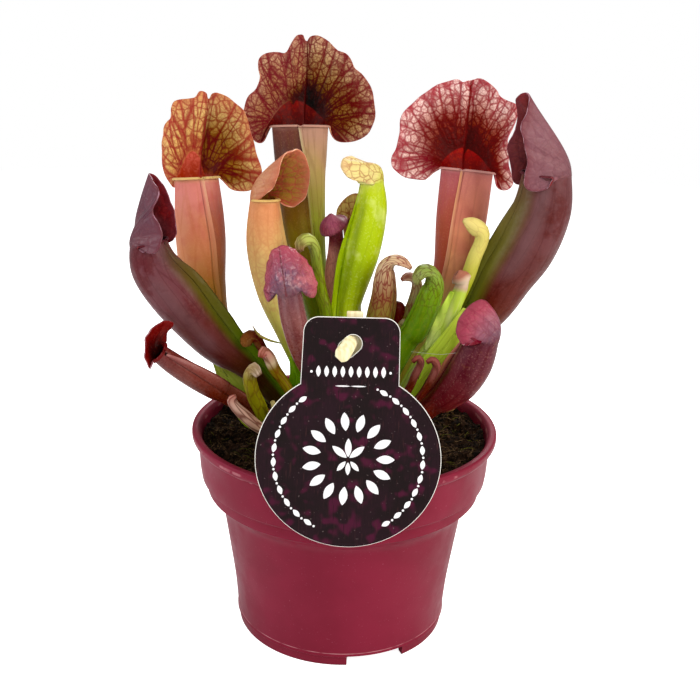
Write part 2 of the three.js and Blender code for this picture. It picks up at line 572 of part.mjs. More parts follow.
pitcherPlant.add(rosette);
addPiece(pitcherPlant, 'rhizome', toGeometry(rhizome), '#4a3426', 0.9);
addPiece(pitcherPlant, 'pot', makePot(), '#9c3048', 0.42);
addPiece(pitcherPlant, 'soil', makeSoil([crownSolid(gap + 0.1), stick(gap), ...feet]), '#2a211b', 1);
addPiece(pitcherPlant, 'tag', makeTag(), '#241118', 0.45);
addPiece(pitcherPlant, 'stake', makeStake(), '#e8d9b0', 0.7);

export default pitcherPlant;
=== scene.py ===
# A potted pitcher plant. Its leaves, peat, pot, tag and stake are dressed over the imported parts.
import math
import random

import bpy
import numpy as np
from mathutils import Matrix, Vector, noise


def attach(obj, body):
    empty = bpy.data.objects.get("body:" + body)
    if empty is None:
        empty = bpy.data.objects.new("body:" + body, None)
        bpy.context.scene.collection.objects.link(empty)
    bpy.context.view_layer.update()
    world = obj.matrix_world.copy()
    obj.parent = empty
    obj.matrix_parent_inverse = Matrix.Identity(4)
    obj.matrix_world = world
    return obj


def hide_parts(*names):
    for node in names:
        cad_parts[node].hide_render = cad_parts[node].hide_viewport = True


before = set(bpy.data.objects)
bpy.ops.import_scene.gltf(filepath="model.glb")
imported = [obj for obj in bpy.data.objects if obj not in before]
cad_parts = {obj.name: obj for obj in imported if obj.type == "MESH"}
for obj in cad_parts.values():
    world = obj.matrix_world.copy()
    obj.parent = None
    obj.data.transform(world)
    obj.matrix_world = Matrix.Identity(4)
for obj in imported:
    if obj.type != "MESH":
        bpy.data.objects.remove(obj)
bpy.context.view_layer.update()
mm = 0.001


class Value:
    # a shader socket that arithmetic can be done with
    def __init__(self, socket):
        self.socket, self.tree = socket, socket.id_data

    def __add__(self, other):
        return calc("ADD", self, other)

    def __sub__(self, other):
        return calc("SUBTRACT", self, other)

    def __rsub__(self, other):
        return calc("SUBTRACT", other, self)

    def __mul__(self, other):
        return calc("MULTIPLY", self, other)

    def __truediv__(self, other):
        return calc("DIVIDE", self, other)

    def __pow__(self, other):
        return calc("POWER", self, other)

    def __gt__(self, other):
        return calc("GREATER_THAN", self, other)

    def __lt__(self, other):
        return calc("LESS_THAN", self, other)

    def __abs__(self):
        return calc("ABSOLUTE", self)


def paint(code):
    # a #rrggbb colour as linear light
    parts = [int(code[k:k + 2], 16) / 255 for k in (1, 3, 5)]
    return tuple(c / 12.92 if c <= 0.04045 else ((c + 0.055) / 1.055) ** 2.4 for c in parts) + (1.0,)


def rowsOf(text):
    # "0 #5f8a10, 0.45 #70880c" as rows of numbers and colours
    return [tuple(part if part[0] == "#" else float(part) for part in row.split())
            for row in text.split(",") if row]


def plug(socket, value):
    # links a value to a socket, or sets the socket to a number or a colour
    if isinstance(value, Value):
        socket.id_data.links.new(value.socket, socket)
    else:
        socket.default_value = paint(value) if isinstance(value, str) else value


def wire(tree, kind, inputs=None, take=0, **settings):
    # a new node's output
    node = tree.nodes.new("ShaderNode" + kind)
    for key, value in settings.items():
        setattr(node, key, value)
    for key, value in (inputs or {}).items():
        plug(node.inputs[key], value)
    return Value(node.outputs[take])


def calc(operation, *values):
    tree = next(value.tree for value in values if isinstance(value, Value))
    return wire(tree, "Math", dict(enumerate(values)), operation=operation)


def vectorMath(operation, first, other=None, take=0):
    inputs = {0: first}
    if other is not None:
        inputs["Scale" if operation == "SCALE" else 1] = other
    return wire(first.tree, "VectorMath", inputs, take, operation=operation)


def apart(value):
    return [Value(part) for part in wire(value.tree, "SeparateXYZ", {0: value}).socket.node.outputs]


def ease(value, low, high, start=0.0, end=1.0):
    # goes smoothly from start to end as value goes from low to high
    return wire(value.tree, "MapRange", {"Value": value, "From Min": low, "From Max": high,
                                         "To Min": start, "To Max": end}, interpolation_type="SMOOTHSTEP")


def within(value, low, full, last, high):
    # 1 between full and last, and 0 below low and above high
    return ease(value, low, full) * ease(value, last, high, 1.0, 0.0)


def cloud(place, scale, detail=2.0, take="Fac"):
    return wire(place.tree, "TexNoise", {"Vector": place, "Scale": scale, "Detail": detail}, take)


def mixColor(factor, first, second, how="MIX"):
    return wire(factor.tree, "Mix", {0: factor, 6: first, 7: second}, 2, data_type="RGBA", blend_type=how)


def ramp(factor, stops):
    color = wire(factor.tree, "ValToRGB", {0: factor})
    bar = color.socket.node.color_ramp
    while len(bar.elements) < len(stops):
        bar.elements.new(0.5)
    for element, (place, code) in zip(bar.elements, stops):
        element.position = place
        element.color = paint(code)
    return color


def bumpOf(height, distance, strength=1.0, after=None):
    inputs = {"Height": height, "Distance": distance, "Strength": strength}
    if after:
        inputs["Normal"] = after
    return wire(height.tree, "Bump", inputs)


def newMaterial(name, settings):
    material = bpy.data.materials.new(name)
    material.use_nodes = True
    shader = material.node_tree.nodes["Principled BSDF"].inputs
    for key, value in settings.items():
        plug(shader[key], value)
    return material, material.node_tree, shader


def bodyOf(tree):
    return wire(tree, "TexCoord", take="Object")


def addShape(name, kind, **settings):
    bpy.ops.object.select_all(action="DESELECT")
    getattr(bpy.ops.mesh, f"primitive_{kind}_add")(**settings)
    obj = bpy.context.object
    obj.name = name
    return obj


# camera and light, with places and sizes in mm, and the floor in metres
cameraSet = {"place": (0, -386.8, 243.8), "aim": (0.0035, 0.9481, -0.318), "roll": 1.46, "lens": 54.05}
lightSet = {
    "key": {"place": (560, -330, 520), "size": 520, "power": 4.8, "tint": "#fffaf4"},
    "fill": {"place": (-620, -60, 420), "size": 420, "power": 2.6, "tint": "#f4f8ff"},
    "front": {"place": (-60, -600, 330), "size": 480, "power": 1.1, "tint": "#ffffff"},
    "back": {"place": (60, 520, 560), "size": 380, "power": 2.4, "tint": "#ffffff"},
}
lampAim = Vector((0, 0, 0.1))
worldLight = 0.34
floorSet = {"radius": 1.2, "shade": 0.93, "glow": 0.85}


def forCamera(tree, unseen, seen):
    # one strength where the camera looks straight at it, another for all other light
    return ease(wire(tree, "LightPath", take="Is Camera Ray"), 0.0, 1.0, unseen, seen)


def setCamera(scene):
    forward = Vector(cameraSet["aim"]).normalized()
    right = forward.cross(Vector((0, 0, 1))).normalized()
    up = right.cross(forward)
    roll = math.radians(cameraSet["roll"])
    tipped = right * math.cos(roll) + up * math.sin(roll)
    turn = Matrix((tipped, -forward.cross(tipped), -forward)).transposed()
    camera = bpy.data.objects.new("camera", bpy.data.cameras.new("camera"))
    camera.data.lens = cameraSet["lens"]
    camera.data.sensor_width = 36
    camera.data.clip_start = 0.01
    camera.matrix_world = Matrix.Translation(Vector(cameraSet["place"]) * mm) @ turn.to_4x4()
    scene.collection.objects.link(camera)
    scene.camera = camera


def setStage():
    scene = bpy.context.scene
    scene.view_settings.view_transform = "Standard"
    scene.world = bpy.data.worlds.new("studio")
    scene.world.use_nodes = True
    sky = scene.world.node_tree.nodes["Background"].inputs
    plug(sky[0], "#ffffff")
    plug(sky[1], forCamera(scene.world.node_tree, worldLight, 1.0))
    setCamera(scene)
    for name, values in lightSet.items():
        lamp = bpy.data.lights.new(name, "AREA")
        lamp.energy = values["power"]
        lamp.size = values["size"] * mm
        lamp.color = paint(values["tint"])[:3]
        holder = bpy.data.objects.new(name, lamp)
        holder.location = Vector(values["place"]) * mm
        holder.rotation_euler = (lampAim - holder.location).to_track_quat("-Z", "Y").to_euler()
        scene.collection.objects.link(holder)
    floor = addShape("floor", "circle", vertices=128, radius=floorSet["radius"], fill_type="NGON")
    shade = floorSet["shade"]
    material, tree, shader = newMaterial("floor_white", {
        "Base Color": (shade, shade, shade, 1), "Roughness": 0.9, "Emission Color": "#ffffff"})
    plug(shader["Emission Strength"], forCamera(tree, 0.0, floorSet["glow"]))
    floor.data.materials.append(material)


setStage()
print("stage set")


# shader groups that the surfaces share
def newGroup(name, inputs, outputs):
    group = bpy.data.node_groups.new(name, "ShaderNodeTree")
    group.interface.new_socket("Vector", in_out="INPUT", socket_type="NodeSocketVector")
    for label, value in inputs.items():
        socket = group.interface.new_socket(label, in_out="INPUT", socket_type="NodeSocketFloat")
        socket.default_value = value
    for label in outputs:
        group.interface.new_socket(label, in_out="OUTPUT", socket_type="NodeSocketFloat")
    given = {socket.name: Value(socket) for socket in group.nodes.new("NodeGroupInput").outputs}
    return group, given, group.nodes.new("NodeGroupOutput").inputs


def makeVeinNet():
    # veins as the borders of stretched cells, wandering a little, and the cells between them
    group, given, out = newGroup("vein_net", {"Scale": 2.0, "Stretch": 0.6, "Width": 0.1, "Wander": 0.3},
                                 ("Veins", "Cells"))
    x, y, z = apart(given["Vector"])
    scale = given["Scale"]
    place = wire(group, "CombineXYZ", {0: x * scale, 1: y * scale * given["Stretch"], 2: z * scale})
    drift = vectorMath("SUBTRACT", cloud(place, 0.9, take="Color"), (0.5, 0.5, 0.5))
    moved = vectorMath("ADD", place, vectorMath("SCALE", drift, given["Wander"]))
    border = wire(group, "TexVoronoi", {"Vector": moved, "Scale": 1.0}, "Distance",
                  feature="DISTANCE_TO_EDGE")
    plug(out["Veins"], ease(border, 0.0, given["Width"], 1.0, 0.0))
    plug(out["Cells"], ease(border, 0.0, 0.42))
    return group


def makeMottle():
    # soft blotches that come and go over the surface
    group, given, out = newGroup("mottle", {"Scale": 100.0, "Low": 0.4, "High": 0.6, "Detail": 3.0},
                                 ("Mask",))
    blotches = wire(group, "TexNoise", {"Vector": given["Vector"], "Scale": given["Scale"],
                                        "Detail": given["Detail"], "Roughness": 0.6}, "Fac")
    plug(out["Mask"], ease(blotches, given["Low"], given["High"]))
    return group


veinNet = makeVeinNet()
mottle = makeMottle()


def veinsOf(place, scale, stretch, width, wander):
    veins = wire(place.tree, "Group", {"Vector": place, "Scale": scale, "Stretch": stretch, "Width": width,
                                       "Wander": wander}, "Veins", node_tree=veinNet)
    return veins, Value(veins.socket.node.outputs["Cells"])


def mottleOf(place, scale, low=0.4, high=0.6, detail=3.0):
    return wire(place.tree, "Group", {"Vector": place, "Scale": scale, "Low": low, "High": high,
                                      "Detail": detail}, "Mask", node_tree=mottle)


def select(obj):
    bpy.ops.object.select_all(action="DESELECT")
    obj.select_set(True)
    bpy.context.view_layer.objects.active = obj


def editAll(obj, *steps):
    # runs edit-mode operators on everything in a piece
    select(obj)
    bpy.ops.object.mode_set(mode="EDIT")
    bpy.ops.mesh.select_all(action="SELECT")
    for step, values in steps:
        step(**values)
    bpy.ops.object.mode_set(mode="OBJECT")


joinDoubles = (bpy.ops.mesh.remove_doubles, {"threshold": 2e-6})
facesOut = (bpy.ops.mesh.normals_make_consistent, {"inside": False})


def finishWith(obj, kind, **settings):
    select(obj)
    modifier = obj.modifiers.new(kind.lower(), kind)
    for key, value in settings.items():
        setattr(modifier, key, value)
    bpy.ops.object.modifier_apply(modifier=modifier.name)


def smooth(obj):
    for polygon in obj.data.polygons:
        polygon.use_smooth = True


def dress(obj, replaced, slot, *materials):
    for material in materials:
        obj.data.materials.append(material)
    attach(obj, "root")
    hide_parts(replaced)


def sheetFrom(name, grid):
    # a grid primitive moved to rows and columns of points
    rows, columns = grid.shape[:2]
    obj = addShape(name, "grid", x_subdivisions=columns - 1, y_subdivisions=rows - 1, size=1)
    obj.data.vertices.foreach_set("co", (grid.reshape(-1, 3) * mm).ravel())
    return obj


# how the leaves grow, in mm
leafBase = {"depth": 68.5, "neck": 75.5}      # where a leaf's base stands in the rhizome
leafWall = 0.55
lipRoll = 1.5
lipCorner = 84                                # degrees from the leaf's front to the lid's corner
lidSpan = 360 - 2 * lipCorner
lidShare = 0.262                              # how far round from a leaf's back the lid's colours reach
finGrain = 7                                  # columns on each face of a wing
finShare = 0.1                                # how far a wing reaches past the leaf map's sides
plainLeaf = {
    "foot": (0, 0, 0),                        # where it stands in the rhizome, and its radius there
    "keel": (0, 0, 0),                        # degrees from the front to the wing: foot, middle and top
    "hug": 0,                                 # 1 where the wing lies on the tube right up to the lip
    "wing": 0, "sweep": 0, "wobble": 0.025,
    "edgeWave": (0, 5), "lip": 1, "rise": 0.33, "hood": 0, "curl": (0, 0.3), "cornerGrain": 24,
    "ruffle": (0.9, 10), "midrib": 0.5, "fold": 0, "groove": 0.8, "notch": 0,
}
plainLook = {
    "flush": "", "nets": "", "tubeNets": "", "backNets": 0, "pucker": 0.5,
    "speck": ("#d8a070", 1500.0, 0.12), "veins": ("#5a1a22", "#7d2231", "#a83c3c"),
    "crease": 0.5, "finFrom": -0.09, "wingShare": 0.85, "edgeFrom": 1.86, "edgeShare": 0.6,
    "tone": (1.0, 1.0), "cut": 0.014, "rough": 0.4, "gloss": 0.15, "bloom": 0.0, "rub": 0.5, "wavy": 0.35,
}


def through(points, at):
    # a smooth curve through rows of numbers: at runs from 0 to the last row
    rows = np.asarray(points, float)
    last = len(rows) - 1
    at = np.clip(np.asarray(at, float), 0, last)
    i = np.minimum(at.astype(int), last - 1)
    f = (at - i)[..., None]
    a, b, c, d = (rows[np.clip(i + k, 0, last)] for k in (-1, 0, 1, 2))
    return 0.5 * (2 * b + (c - a) * f + (2 * a - 5 * b + 4 * c - d) * f**2 + (3 * b - a - 3 * c + d) * f**3)


def unit(v):
    return v / np.maximum(np.linalg.norm(v, axis=-1, keepdims=True), 1e-9)


def easeUp(x):
    x = np.clip(x, 0, 1)
    return x * x * (3 - 2 * x)


def wave(seed, count):
    # a seeded, smooth, wandering column of values around 0
    draw = np.random.default_rng(seed)
    x = np.linspace(0, 1, count)
    line = sum(draw.uniform(0.4, 1) / k**0.5 * np.sin(2 * np.pi * (k * x + draw.random()))
               for k in range(1, 6))
    return line[:, None] / 3


def facing(leaf):
    face = math.radians(leaf["face"])
    front = np.array((math.cos(face), math.sin(face), 0.0))
    return front, np.cross((0.0, 0.0, 1.0), front)


def ringsOf(leaf, rows):
    # evenly spaced rings along a leaf's spine, each with a centre, radii and directions
    x, y, r = leaf["foot"]
    stations = [(x, y, leafBase["depth"], r, r), (x, y, leafBase["neck"], r, r)] if r else []
    stations += [s if len(s) == 5 else (*s, s[3]) for s in rowsOf(leaf["spine"])]
    fine = through(stations, np.linspace(0, len(stations) - 1, 600))
    steps = np.r_[0, np.cumsum(np.linalg.norm(np.diff(fine[:, :3], axis=0), axis=1))]
    along = np.linspace(0, steps[-1], rows)
    ring = np.stack([np.interp(along, steps, fine[:, c]) for c in range(5)], axis=1)
    axis = unit(np.gradient(ring[:, :3], axis=0))
    front = facing(leaf)[0]
    fronts = np.zeros_like(axis)
    for i in range(rows - 1, -1, -1) if "outline" in leaf else range(rows):
        front = unit(front - axis[i] * front.dot(axis[i]))
        fronts[i] = front
    return {"centre": ring[:, :3], "a": ring[:, 3], "b": ring[:, 4], "axis": axis, "front": fronts,
            "side": np.cross(axis, fronts), "length": steps[-1], "t": along / steps[-1]}


def columnsOf(leaf):
    # the wing's right face, the lip, the lid, the lip again and the wing's left face, each by its angle
    # from the leaf's front, how far out on the wing it is, and on which of the wing's faces
    lidColumns = leaf["grain"][2] if "outline" in leaf else leaf["grain"][1]
    q = np.linspace(1, 0, finGrain)
    lip = np.linspace(2.5, lipCorner, leaf["grain"][1])
    lid = np.linspace(lipCorner, 360 - lipCorner, lidColumns + 1)[1:-1]
    angle = np.r_[np.zeros(finGrain), lip, lid, 360 - lip[::-1], np.full(finGrain, 360.0)]
    offWing = np.zeros(len(angle) - 2 * finGrain)
    return angle, np.r_[q, offWing, q[::-1]], np.r_[np.ones(finGrain), offWing, -np.ones(finGrain)]


def shapeTube(leaf, rings, columns, seed):
    angle, finAt, finSide = columns
    t = rings["t"][:, None]
    rows = len(t)
    low, middle, high = leaf["keel"]
    keel = low * (1 - t) * (1 - 2 * t) + middle * 4 * t * (1 - t) + high * t * (2 * t - 1)
    turn = np.radians(angle + keel * np.clip(1 - np.minimum(angle, 360 - angle) / lipCorner, 0, 1))
    bulges = wave(seed, rows) * np.cos(turn * 2 + seed) + wave(seed + 1, rows) * np.cos(turn * 3)
    wobble = 1 + leaf["wobble"] * bulges
    a, b = rings["a"][:, None] * wobble, rings["b"][:, None] * wobble
    s, f = a * np.sin(turn), b * np.cos(turn)

    # the wing stands out from the front of the tube, thin at its edge
    hug, sweep = leaf["hug"], math.radians(leaf["sweep"])
    up = np.clip((t - 0.12) / 0.86, 0, 1)
    profile = (1 - hug) * np.sin(np.pi * up) ** 0.7 + hug * easeUp((t - 0.1) / 0.28)
    wing = leaf["wing"] * profile * (1 + 0.3 * wave(seed + 2, rows)) * (1 - 0.6 * hug * t**12)
    flutter = 0.25 * wing * wave(seed + 3, rows) * finAt * (1 - hug)
    lean = np.radians(keel) + sweep * profile**0.7 * (1 + 0.12 * hug * wave(seed + 4, rows)) * finAt
    reach = wing * finAt ** (1 + hug) * (1 - 0.55 * (1 - hug) * abs(math.sin(sweep / 2)))
    half = (0.28 * (1 - 0.6 * finAt**3) + 0.35 * (1 - finAt) ** 2) * (1 - finAt**6)
    finS = (a + reach) * np.sin(lean) + (flutter + finSide * half) * np.cos(lean)
    finF = (b + reach) * np.cos(lean) - (flutter + finSide * half) * np.sin(lean)
    s, f = np.where(finSide, finS, s)[..., None], np.where(finSide, finF, f)[..., None]
    tube = rings["centre"][:, None] + s * rings["side"][:, None] + f * rings["front"][:, None]
    if "outline" not in leaf:                                # a blade's edges ruffle
        high, count = leaf["edgeWave"]
        ruffled = high * np.sin(2 * np.pi * count * t + seed + 1.5 * np.sin(turn)) * np.sin(turn) ** 2
        tube = tube + ruffled[..., None] * rings["front"][:, None]
    return tube


def lidCurves(leaf, rings, p0, share, inLid, span, edge):
    # the four points of each column's curve: the lip's roll, which grows into the lid between its corners
    axis, (front, side) = rings["axis"][-1], facing(leaf)
    out = unit(p0 - rings["centre"][-1])
    roll = lipRoll * min(1, rings["a"][-1] / 6) * leaf["lip"]
    p1 = p0 + axis * roll * 0.8
    p2 = p0 + axis * roll * 0.75 + out * roll * 0.9
    p3 = p0 - axis * roll * 0.1 + out * roll * 1.05
    curl, curlEnd = leaf["curl"]                             # the lid's left side rolls over to the front
    rolled = curl * np.clip(1 - share / curlEnd, 0, 1)[:, None] ** 0.7 * span
    lid1 = p0 + axis * span * leaf["rise"]
    lid2 = p0 * 0.34 + edge * 0.66 - front * leaf["hood"] * span - (front * 0.7 + side * 0.5) * rolled
    blend = easeUp(np.minimum(share, 1 - share) * leaf["cornerGrain"])[:, None] * inLid[:, None]
    return p0, p1 + (lid1 - p1) * blend, p2 + (lid2 - p2) * blend, p3 + (edge - p3) * blend


def shapeLid(leaf, rings, p0, columns, seed):
    # the lip and lid over the mouth p0, with where each point is on the leaf and on its net of veins
    angle, _, finSide = columns
    front, side = facing(leaf)
    share = 1 - (angle - lipCorner) / lidSpan                # 0 at the lip's left corner, 1 at its right
    inLid = (share > 0) & (share < 1) & (finSide == 0)
    outline = rowsOf(leaf["outline"])
    sideways, up, forward = through(outline, share * (len(outline) - 1)).T[..., None]
    edge = rings["centre"][-1] + sideways * side + up * np.array((0, 0, 1.0)) + forward * front
    span = np.linalg.norm(edge - p0, axis=1, keepdims=True)
    p0, p1, p2, p3 = lidCurves(leaf, rings, p0, share, inLid, span, edge)
    w = np.linspace(0, 1, leaf["grain"][3] + 1)[1:, None, None]
    points = (1 - w) ** 3 * p0 + 3 * (1 - w) ** 2 * w * p1 + 3 * (1 - w) * w**2 * p2 + w**3 * p3

    # its margin waves and scallops, a groove and a valley run up its middle, and its tip is notched
    rho = w[..., 0]
    arc = np.r_[0, np.cumsum(np.linalg.norm(np.diff(p3, axis=0), axis=1))]
    draw = np.random.default_rng(seed)
    high, long = leaf["ruffle"]
    waves = sum(k * np.sin(2 * np.pi * arc / (long * m) + draw.random() * 6.3)
                for k, m in ((1, 1), (0.55, 0.61), (0.4, 1.7)))
    fade = np.clip(np.minimum(share, 1 - share) * 7, 0, 1) ** 2 * inLid
    off = share - leaf["midrib"]
    groove, broad, tip = (np.exp(-((off / wide) ** 2)) for wide in (0.01, 0.045, 0.014))
    valley = leaf["groove"] * 0.6 * (groove + broad)
    valley += leaf["fold"] * np.clip(1 - abs(off) / 0.34, 0, 1) ** 1.25
    normal = unit(np.cross(np.gradient(points, axis=1), np.gradient(points, axis=0)))
    push = high * rho**2.4 * waves * fade + valley * fade * np.sin(np.pi * rho**0.75) ** 0.7
    points = points + normal * push[..., None]
    scallop = 0.25 * np.sin(2 * np.pi * arc / 9.3 + 1) * high
    points = points + unit(p3 - p0) * ((scallop - leaf["notch"] * tip) * fade * rho**4)[..., None]
    size = points.shape[:2]
    return points, [np.broadcast_to(part, size) for part in (
        1 + rho, (share - 0.5) * arc[-1] / 10, rho * np.maximum(span[:, 0], 1.0) / 10)]


def shapeLeaf(name, leaf):
    # a leaf's points as rows up it and columns round it, and its maps
    seed = sum(map(ord, name))
    rings = ringsOf(leaf, leaf["grain"][0])
    columns = columnsOf(leaf)
    angle, finAt, finSide = columns
    around = angle / 360 - finShare * finAt * finSide
    tube = shapeTube(leaf, rings, columns, seed)
    t = rings["t"][:, None]
    maps = [np.broadcast_to(part, tube.shape[:2]) for part in (
        t, around * 2 * np.pi * rings["a"].max() / 10, (t - 1) * rings["length"] / 10)]
    if "outline" in leaf:
        top, topMaps = shapeLid(leaf, rings, tube[-1], columns, seed)
    else:
        top, topMaps = np.broadcast_to(tube[-1].mean(axis=0), tube[:1].shape), [part[-1:] for part in maps]
    grid = np.concatenate([np.broadcast_to(rings["centre"][0], tube[:1].shape), tube, top])
    v, netX, netY = (np.concatenate([low[:1], low, high]) for low, high in zip(maps, topMaps))
    fromMouth = (grid - rings["centre"][-1]) / 10 * ("outline" in leaf)
    return grid, {"leaf": (np.broadcast_to(around, v.shape), v), "net": (netX, netY),
                  "mouth": (fromMouth @ facing(leaf)[1], fromMouth[..., 2])}, finSide != 0


def growLeaf(name, leaf):
    leaf, look = {**plainLeaf, **leaf}, {**plainLook, **leaf["look"]}
    grid, maps, isFin = shapeLeaf(name, leaf)
    obj = sheetFrom(name + "_leaf", grid)
    mesh = obj.data
    corner = np.zeros(len(mesh.loops), int)
    mesh.loops.foreach_get("vertex_index", corner)
    mesh.uv_layers.remove(mesh.uv_layers[0])
    for layer, (x, y) in maps.items():
        pairs = np.stack([x.reshape(-1)[corner], y.reshape(-1)[corner]], axis=1)
        mesh.uv_layers.new(name=layer).uv.foreach_set("vector", pairs.astype(np.float32).ravel())
    group = obj.vertex_groups.new(name="wall")
    thin = np.broadcast_to(isFin, grid.shape[:2]).ravel()
    group.add(np.flatnonzero(~thin).tolist(), 1.0, "REPLACE")
    group.add(np.flatnonzero(thin).tolist(), 0.02, "REPLACE")
    editAll(obj, joinDoubles)
    skins = [leafSkin(name + "_outside", look, False)]
    if "outline" in leaf:
        skins += [leafSkin(name + "_inside", look, True), rimSkin(name + "_rim", look)]
    dress(obj, leaf.get("part", name), leaf["slot"], *skins)
    if "outline" in leaf:
        finishWith(obj, "SOLIDIFY", thickness=leafWall * mm, offset=-1, vertex_group="wall",
                   thickness_vertex_group=0.02, material_offset=1, material_offset_rim=2)
    smooth(obj)


def leafSkin(name, look, inside):
    # a leaf's surface from its colours up the leaf to its veins, throat, midrib, wing, lip and margin
    rough = look["rough"]
    material, tree, shader = newMaterial(name, {
        "Roughness": rough, "Specular IOR Level": look["gloss"] * (0.4 if inside else 1),
        "Specular Tint": (1, 0.68, 0.58, 1) if inside else (1, 0.86, 0.78, 1),
        "Sheen Weight": look["bloom"], "Sheen Roughness": 0.5, "Sheen Tint": (0.9, 0.8, 0.85, 1)})
    leafMap, netMap, mouthMap = (wire(tree, "UVMap", uv_map=layer) for layer in ("leaf", "net", "mouth"))
    body = bodyOf(tree)
    centimetres = vectorMath("SCALE", body, 100.0)
    (u, v, _), (mouthX, mouthY, _) = apart(leafMap), apart(mouthMap)
    drift = cloud(body, 60.0) - 0.5
    vDrift = v + drift * 0.16
    stops = rowsOf(look["inner"] if inside else look["skin"])
    color = ramp(vDrift * 0.5, [(place / 2, code) for place, code in stops])
    if "right" in look and not inside:                       # painted light: the tube's right side gets its own colours, partly the leaf's own and partly lighter as the lit side
        litRightSide = ease(u, 0.42, 0.5, 1.0, 0.0) * ease(v, 1.0, 1.06, 1.0, 0.0)
        color = mixColor(litRightSide, color, ramp(vDrift, rowsOf(look["right"])))
    for code, scale, low, high, strength, start, end in rowsOf(look["flush"]):     # soft patches
        reach = within(v, start - 0.12, start + 0.12, end - 0.12, end + 0.12)
        color = mixColor(mottleOf(body, scale, low, high) * strength * reach, color, code)

    lidOnly = ease(v, 1.0, 1.06)
    clear, throat = lidOnly, look.get("throat") if inside else None
    if throat:                                               # gap is how far inside the throat's patch
        off = mouthX - throat["at"]
        side = off / (off * throat["skew"] + throat["half"])
        dome = (1 - abs(side) ** 1.8) * throat["high"]
        gap = dome - ease(abs(off - throat["cleft"]), 0.0, 0.14, 0.2, 0.0) + drift * 0.25 - mouthY
        halo = ease(gap, -1.0, 0.05, 0.0, 0.6) * ease(abs(side), 1.0, 2.2, 1.0, 0.0)
        color = mixColor(halo, color, throat["halo"])
        clear = lidOnly * ease(gap, -0.15, 0.05, 1.0, 0.0)

    swells = []
    share = 1.0 if inside else look["backNets"]
    veinColor = ramp(v * 0.5, list(zip((0.45, 0.66, 0.98), look["veins"])))
    for k, (scale, stretch, width, strength) in enumerate(rowsOf(look["nets"]) if share > 0 else []):
        veins, cells = veinsOf(centimetres if k else netMap, scale, stretch, width, 0.45)
        shown, raised = (clear, clear) if k else (clear * ease(v, 1.05, 1.3), clear * ease(v, 1.25, 1.5))
        color = mixColor(veins * (strength * share) * shown, color, veinColor)
        swells.append((cells * raised, look["pucker"] / scale))
    for scale, stretch, width, strength, code, low, high in rowsOf(look["tubeNets"]):
        veins, cells = veinsOf(netMap, scale, stretch, width, 0.35)
        reach = within(v, low - 0.12, low + 0.12, high - 0.1, high + 0.1)
        color = mixColor(veins * strength * reach, color, code)
        swells.append((cells * reach, 0.2 / scale))

    code, scale, strength = look["speck"]
    color = mixColor(mottleOf(body, scale, 0.52, 0.7, 2.0) * strength, color, code)
    uMiddle = (lipCorner + lidSpan * (1 - look["crease"])) / 360
    if inside and "sides" in look:                           # painted shade: the lid's right half is multiplied darker, as if turned from the key light, while the left half stays light
        leftCode, rightCode = look["sides"]
        paintedShadeOfHalves = mixColor(ease(u, uMiddle - 0.02, uMiddle + 0.02), rightCode, leftCode)
        color = mixColor(ease(v, 1.0, 1.12) * ease(v, 1.5, 1.98, 1.0, 0.2), color, paintedShadeOfHalves, "MULTIPLY")
    if inside and "heart" in look:                           # the lid darkens toward the mouth
        at, level, reach, code = look["heart"]
        apartBy = vectorMath("DISTANCE", mouthMap, (at, level, 0.0), "Value") + drift * 0.8
        color = mixColor(ease(apartBy, 0.2, reach, 0.9, 0.0), color, code, "MULTIPLY")
    if "paintedLightStreak" in look:                                     # painted light: a streak runs up the tube, lighter as a painted highlight on the dark hoods, darker as the painted shade of a fold on the lime leaf
        middle, halfWide, low, high, code = look["paintedLightStreak"]
        beside = ease(abs(u - middle), halfWide * 0.1, halfWide, 0.4, 0.0)
        color = mixColor(beside * within(vDrift, low - 0.08, low, high, high + 0.08), color, code)

    inTube = ease(v, 0.97, 1.0, 1.0, 0.0) if inside else None
    if throat:
        shade = mixColor(ease(mouthY, 0.0, throat["high"]), throat["deep"], throat["code"])
        shade = mixColor(veinsOf(centimetres, 4.0, 1.0, 0.16, 0.5)[0] * 0.6, shade, throat["deep"])
        shade = mixColor(mottleOf(body, 900.0, 0.5, 0.65) * 0.3, shade, throat["speck"])
        color = mixColor(calc("MAXIMUM", ease(gap, -0.02, 0.03), inTube), color, shade)
    elif inside:
        color = mixColor(inTube, color, stops[0][1])
    if "creaseCode" in look and (inside or look["backNets"] == 1):     # the midrib's line
        line = ease(abs(u - uMiddle) * (v - 0.9), 0.0012, 0.0042, 0.85, 0.0)
        color = mixColor(line * lidOnly, color, look["creaseCode"])
    if "band" in look:                                       # the wing's colour runs on over the tube
        strip = ease(calc("MINIMUM", u, 1 - u), *look["band"], 1.0, 0.0) * ease(v, 0.94, 1.04, 1.0, 0.0)
        color = mixColor(strip, color, ramp(vDrift, rowsOf(look["wing"])))
    if "wing" in look:
        fin = calc("MAXIMUM", ease(u, look["finFrom"], 0.0, 1.0, 0.0), ease(u, 1.0, 1.0 - look["finFrom"]))
        color = mixColor(fin * look["wingShare"], color, ramp(v, rowsOf(look["wing"])))
    off = abs(u - 0.5)
    if "lip" in look:
        color = mixColor((off > lidShare) * ease(v, 0.985, 1.02), color, look["lip"])
    if "edge" in look:
        margin = ease(v, look["edgeFrom"], 2.0) * (off < lidShare)
        color = mixColor(margin * look["edgeShare"], color, look["edge"])

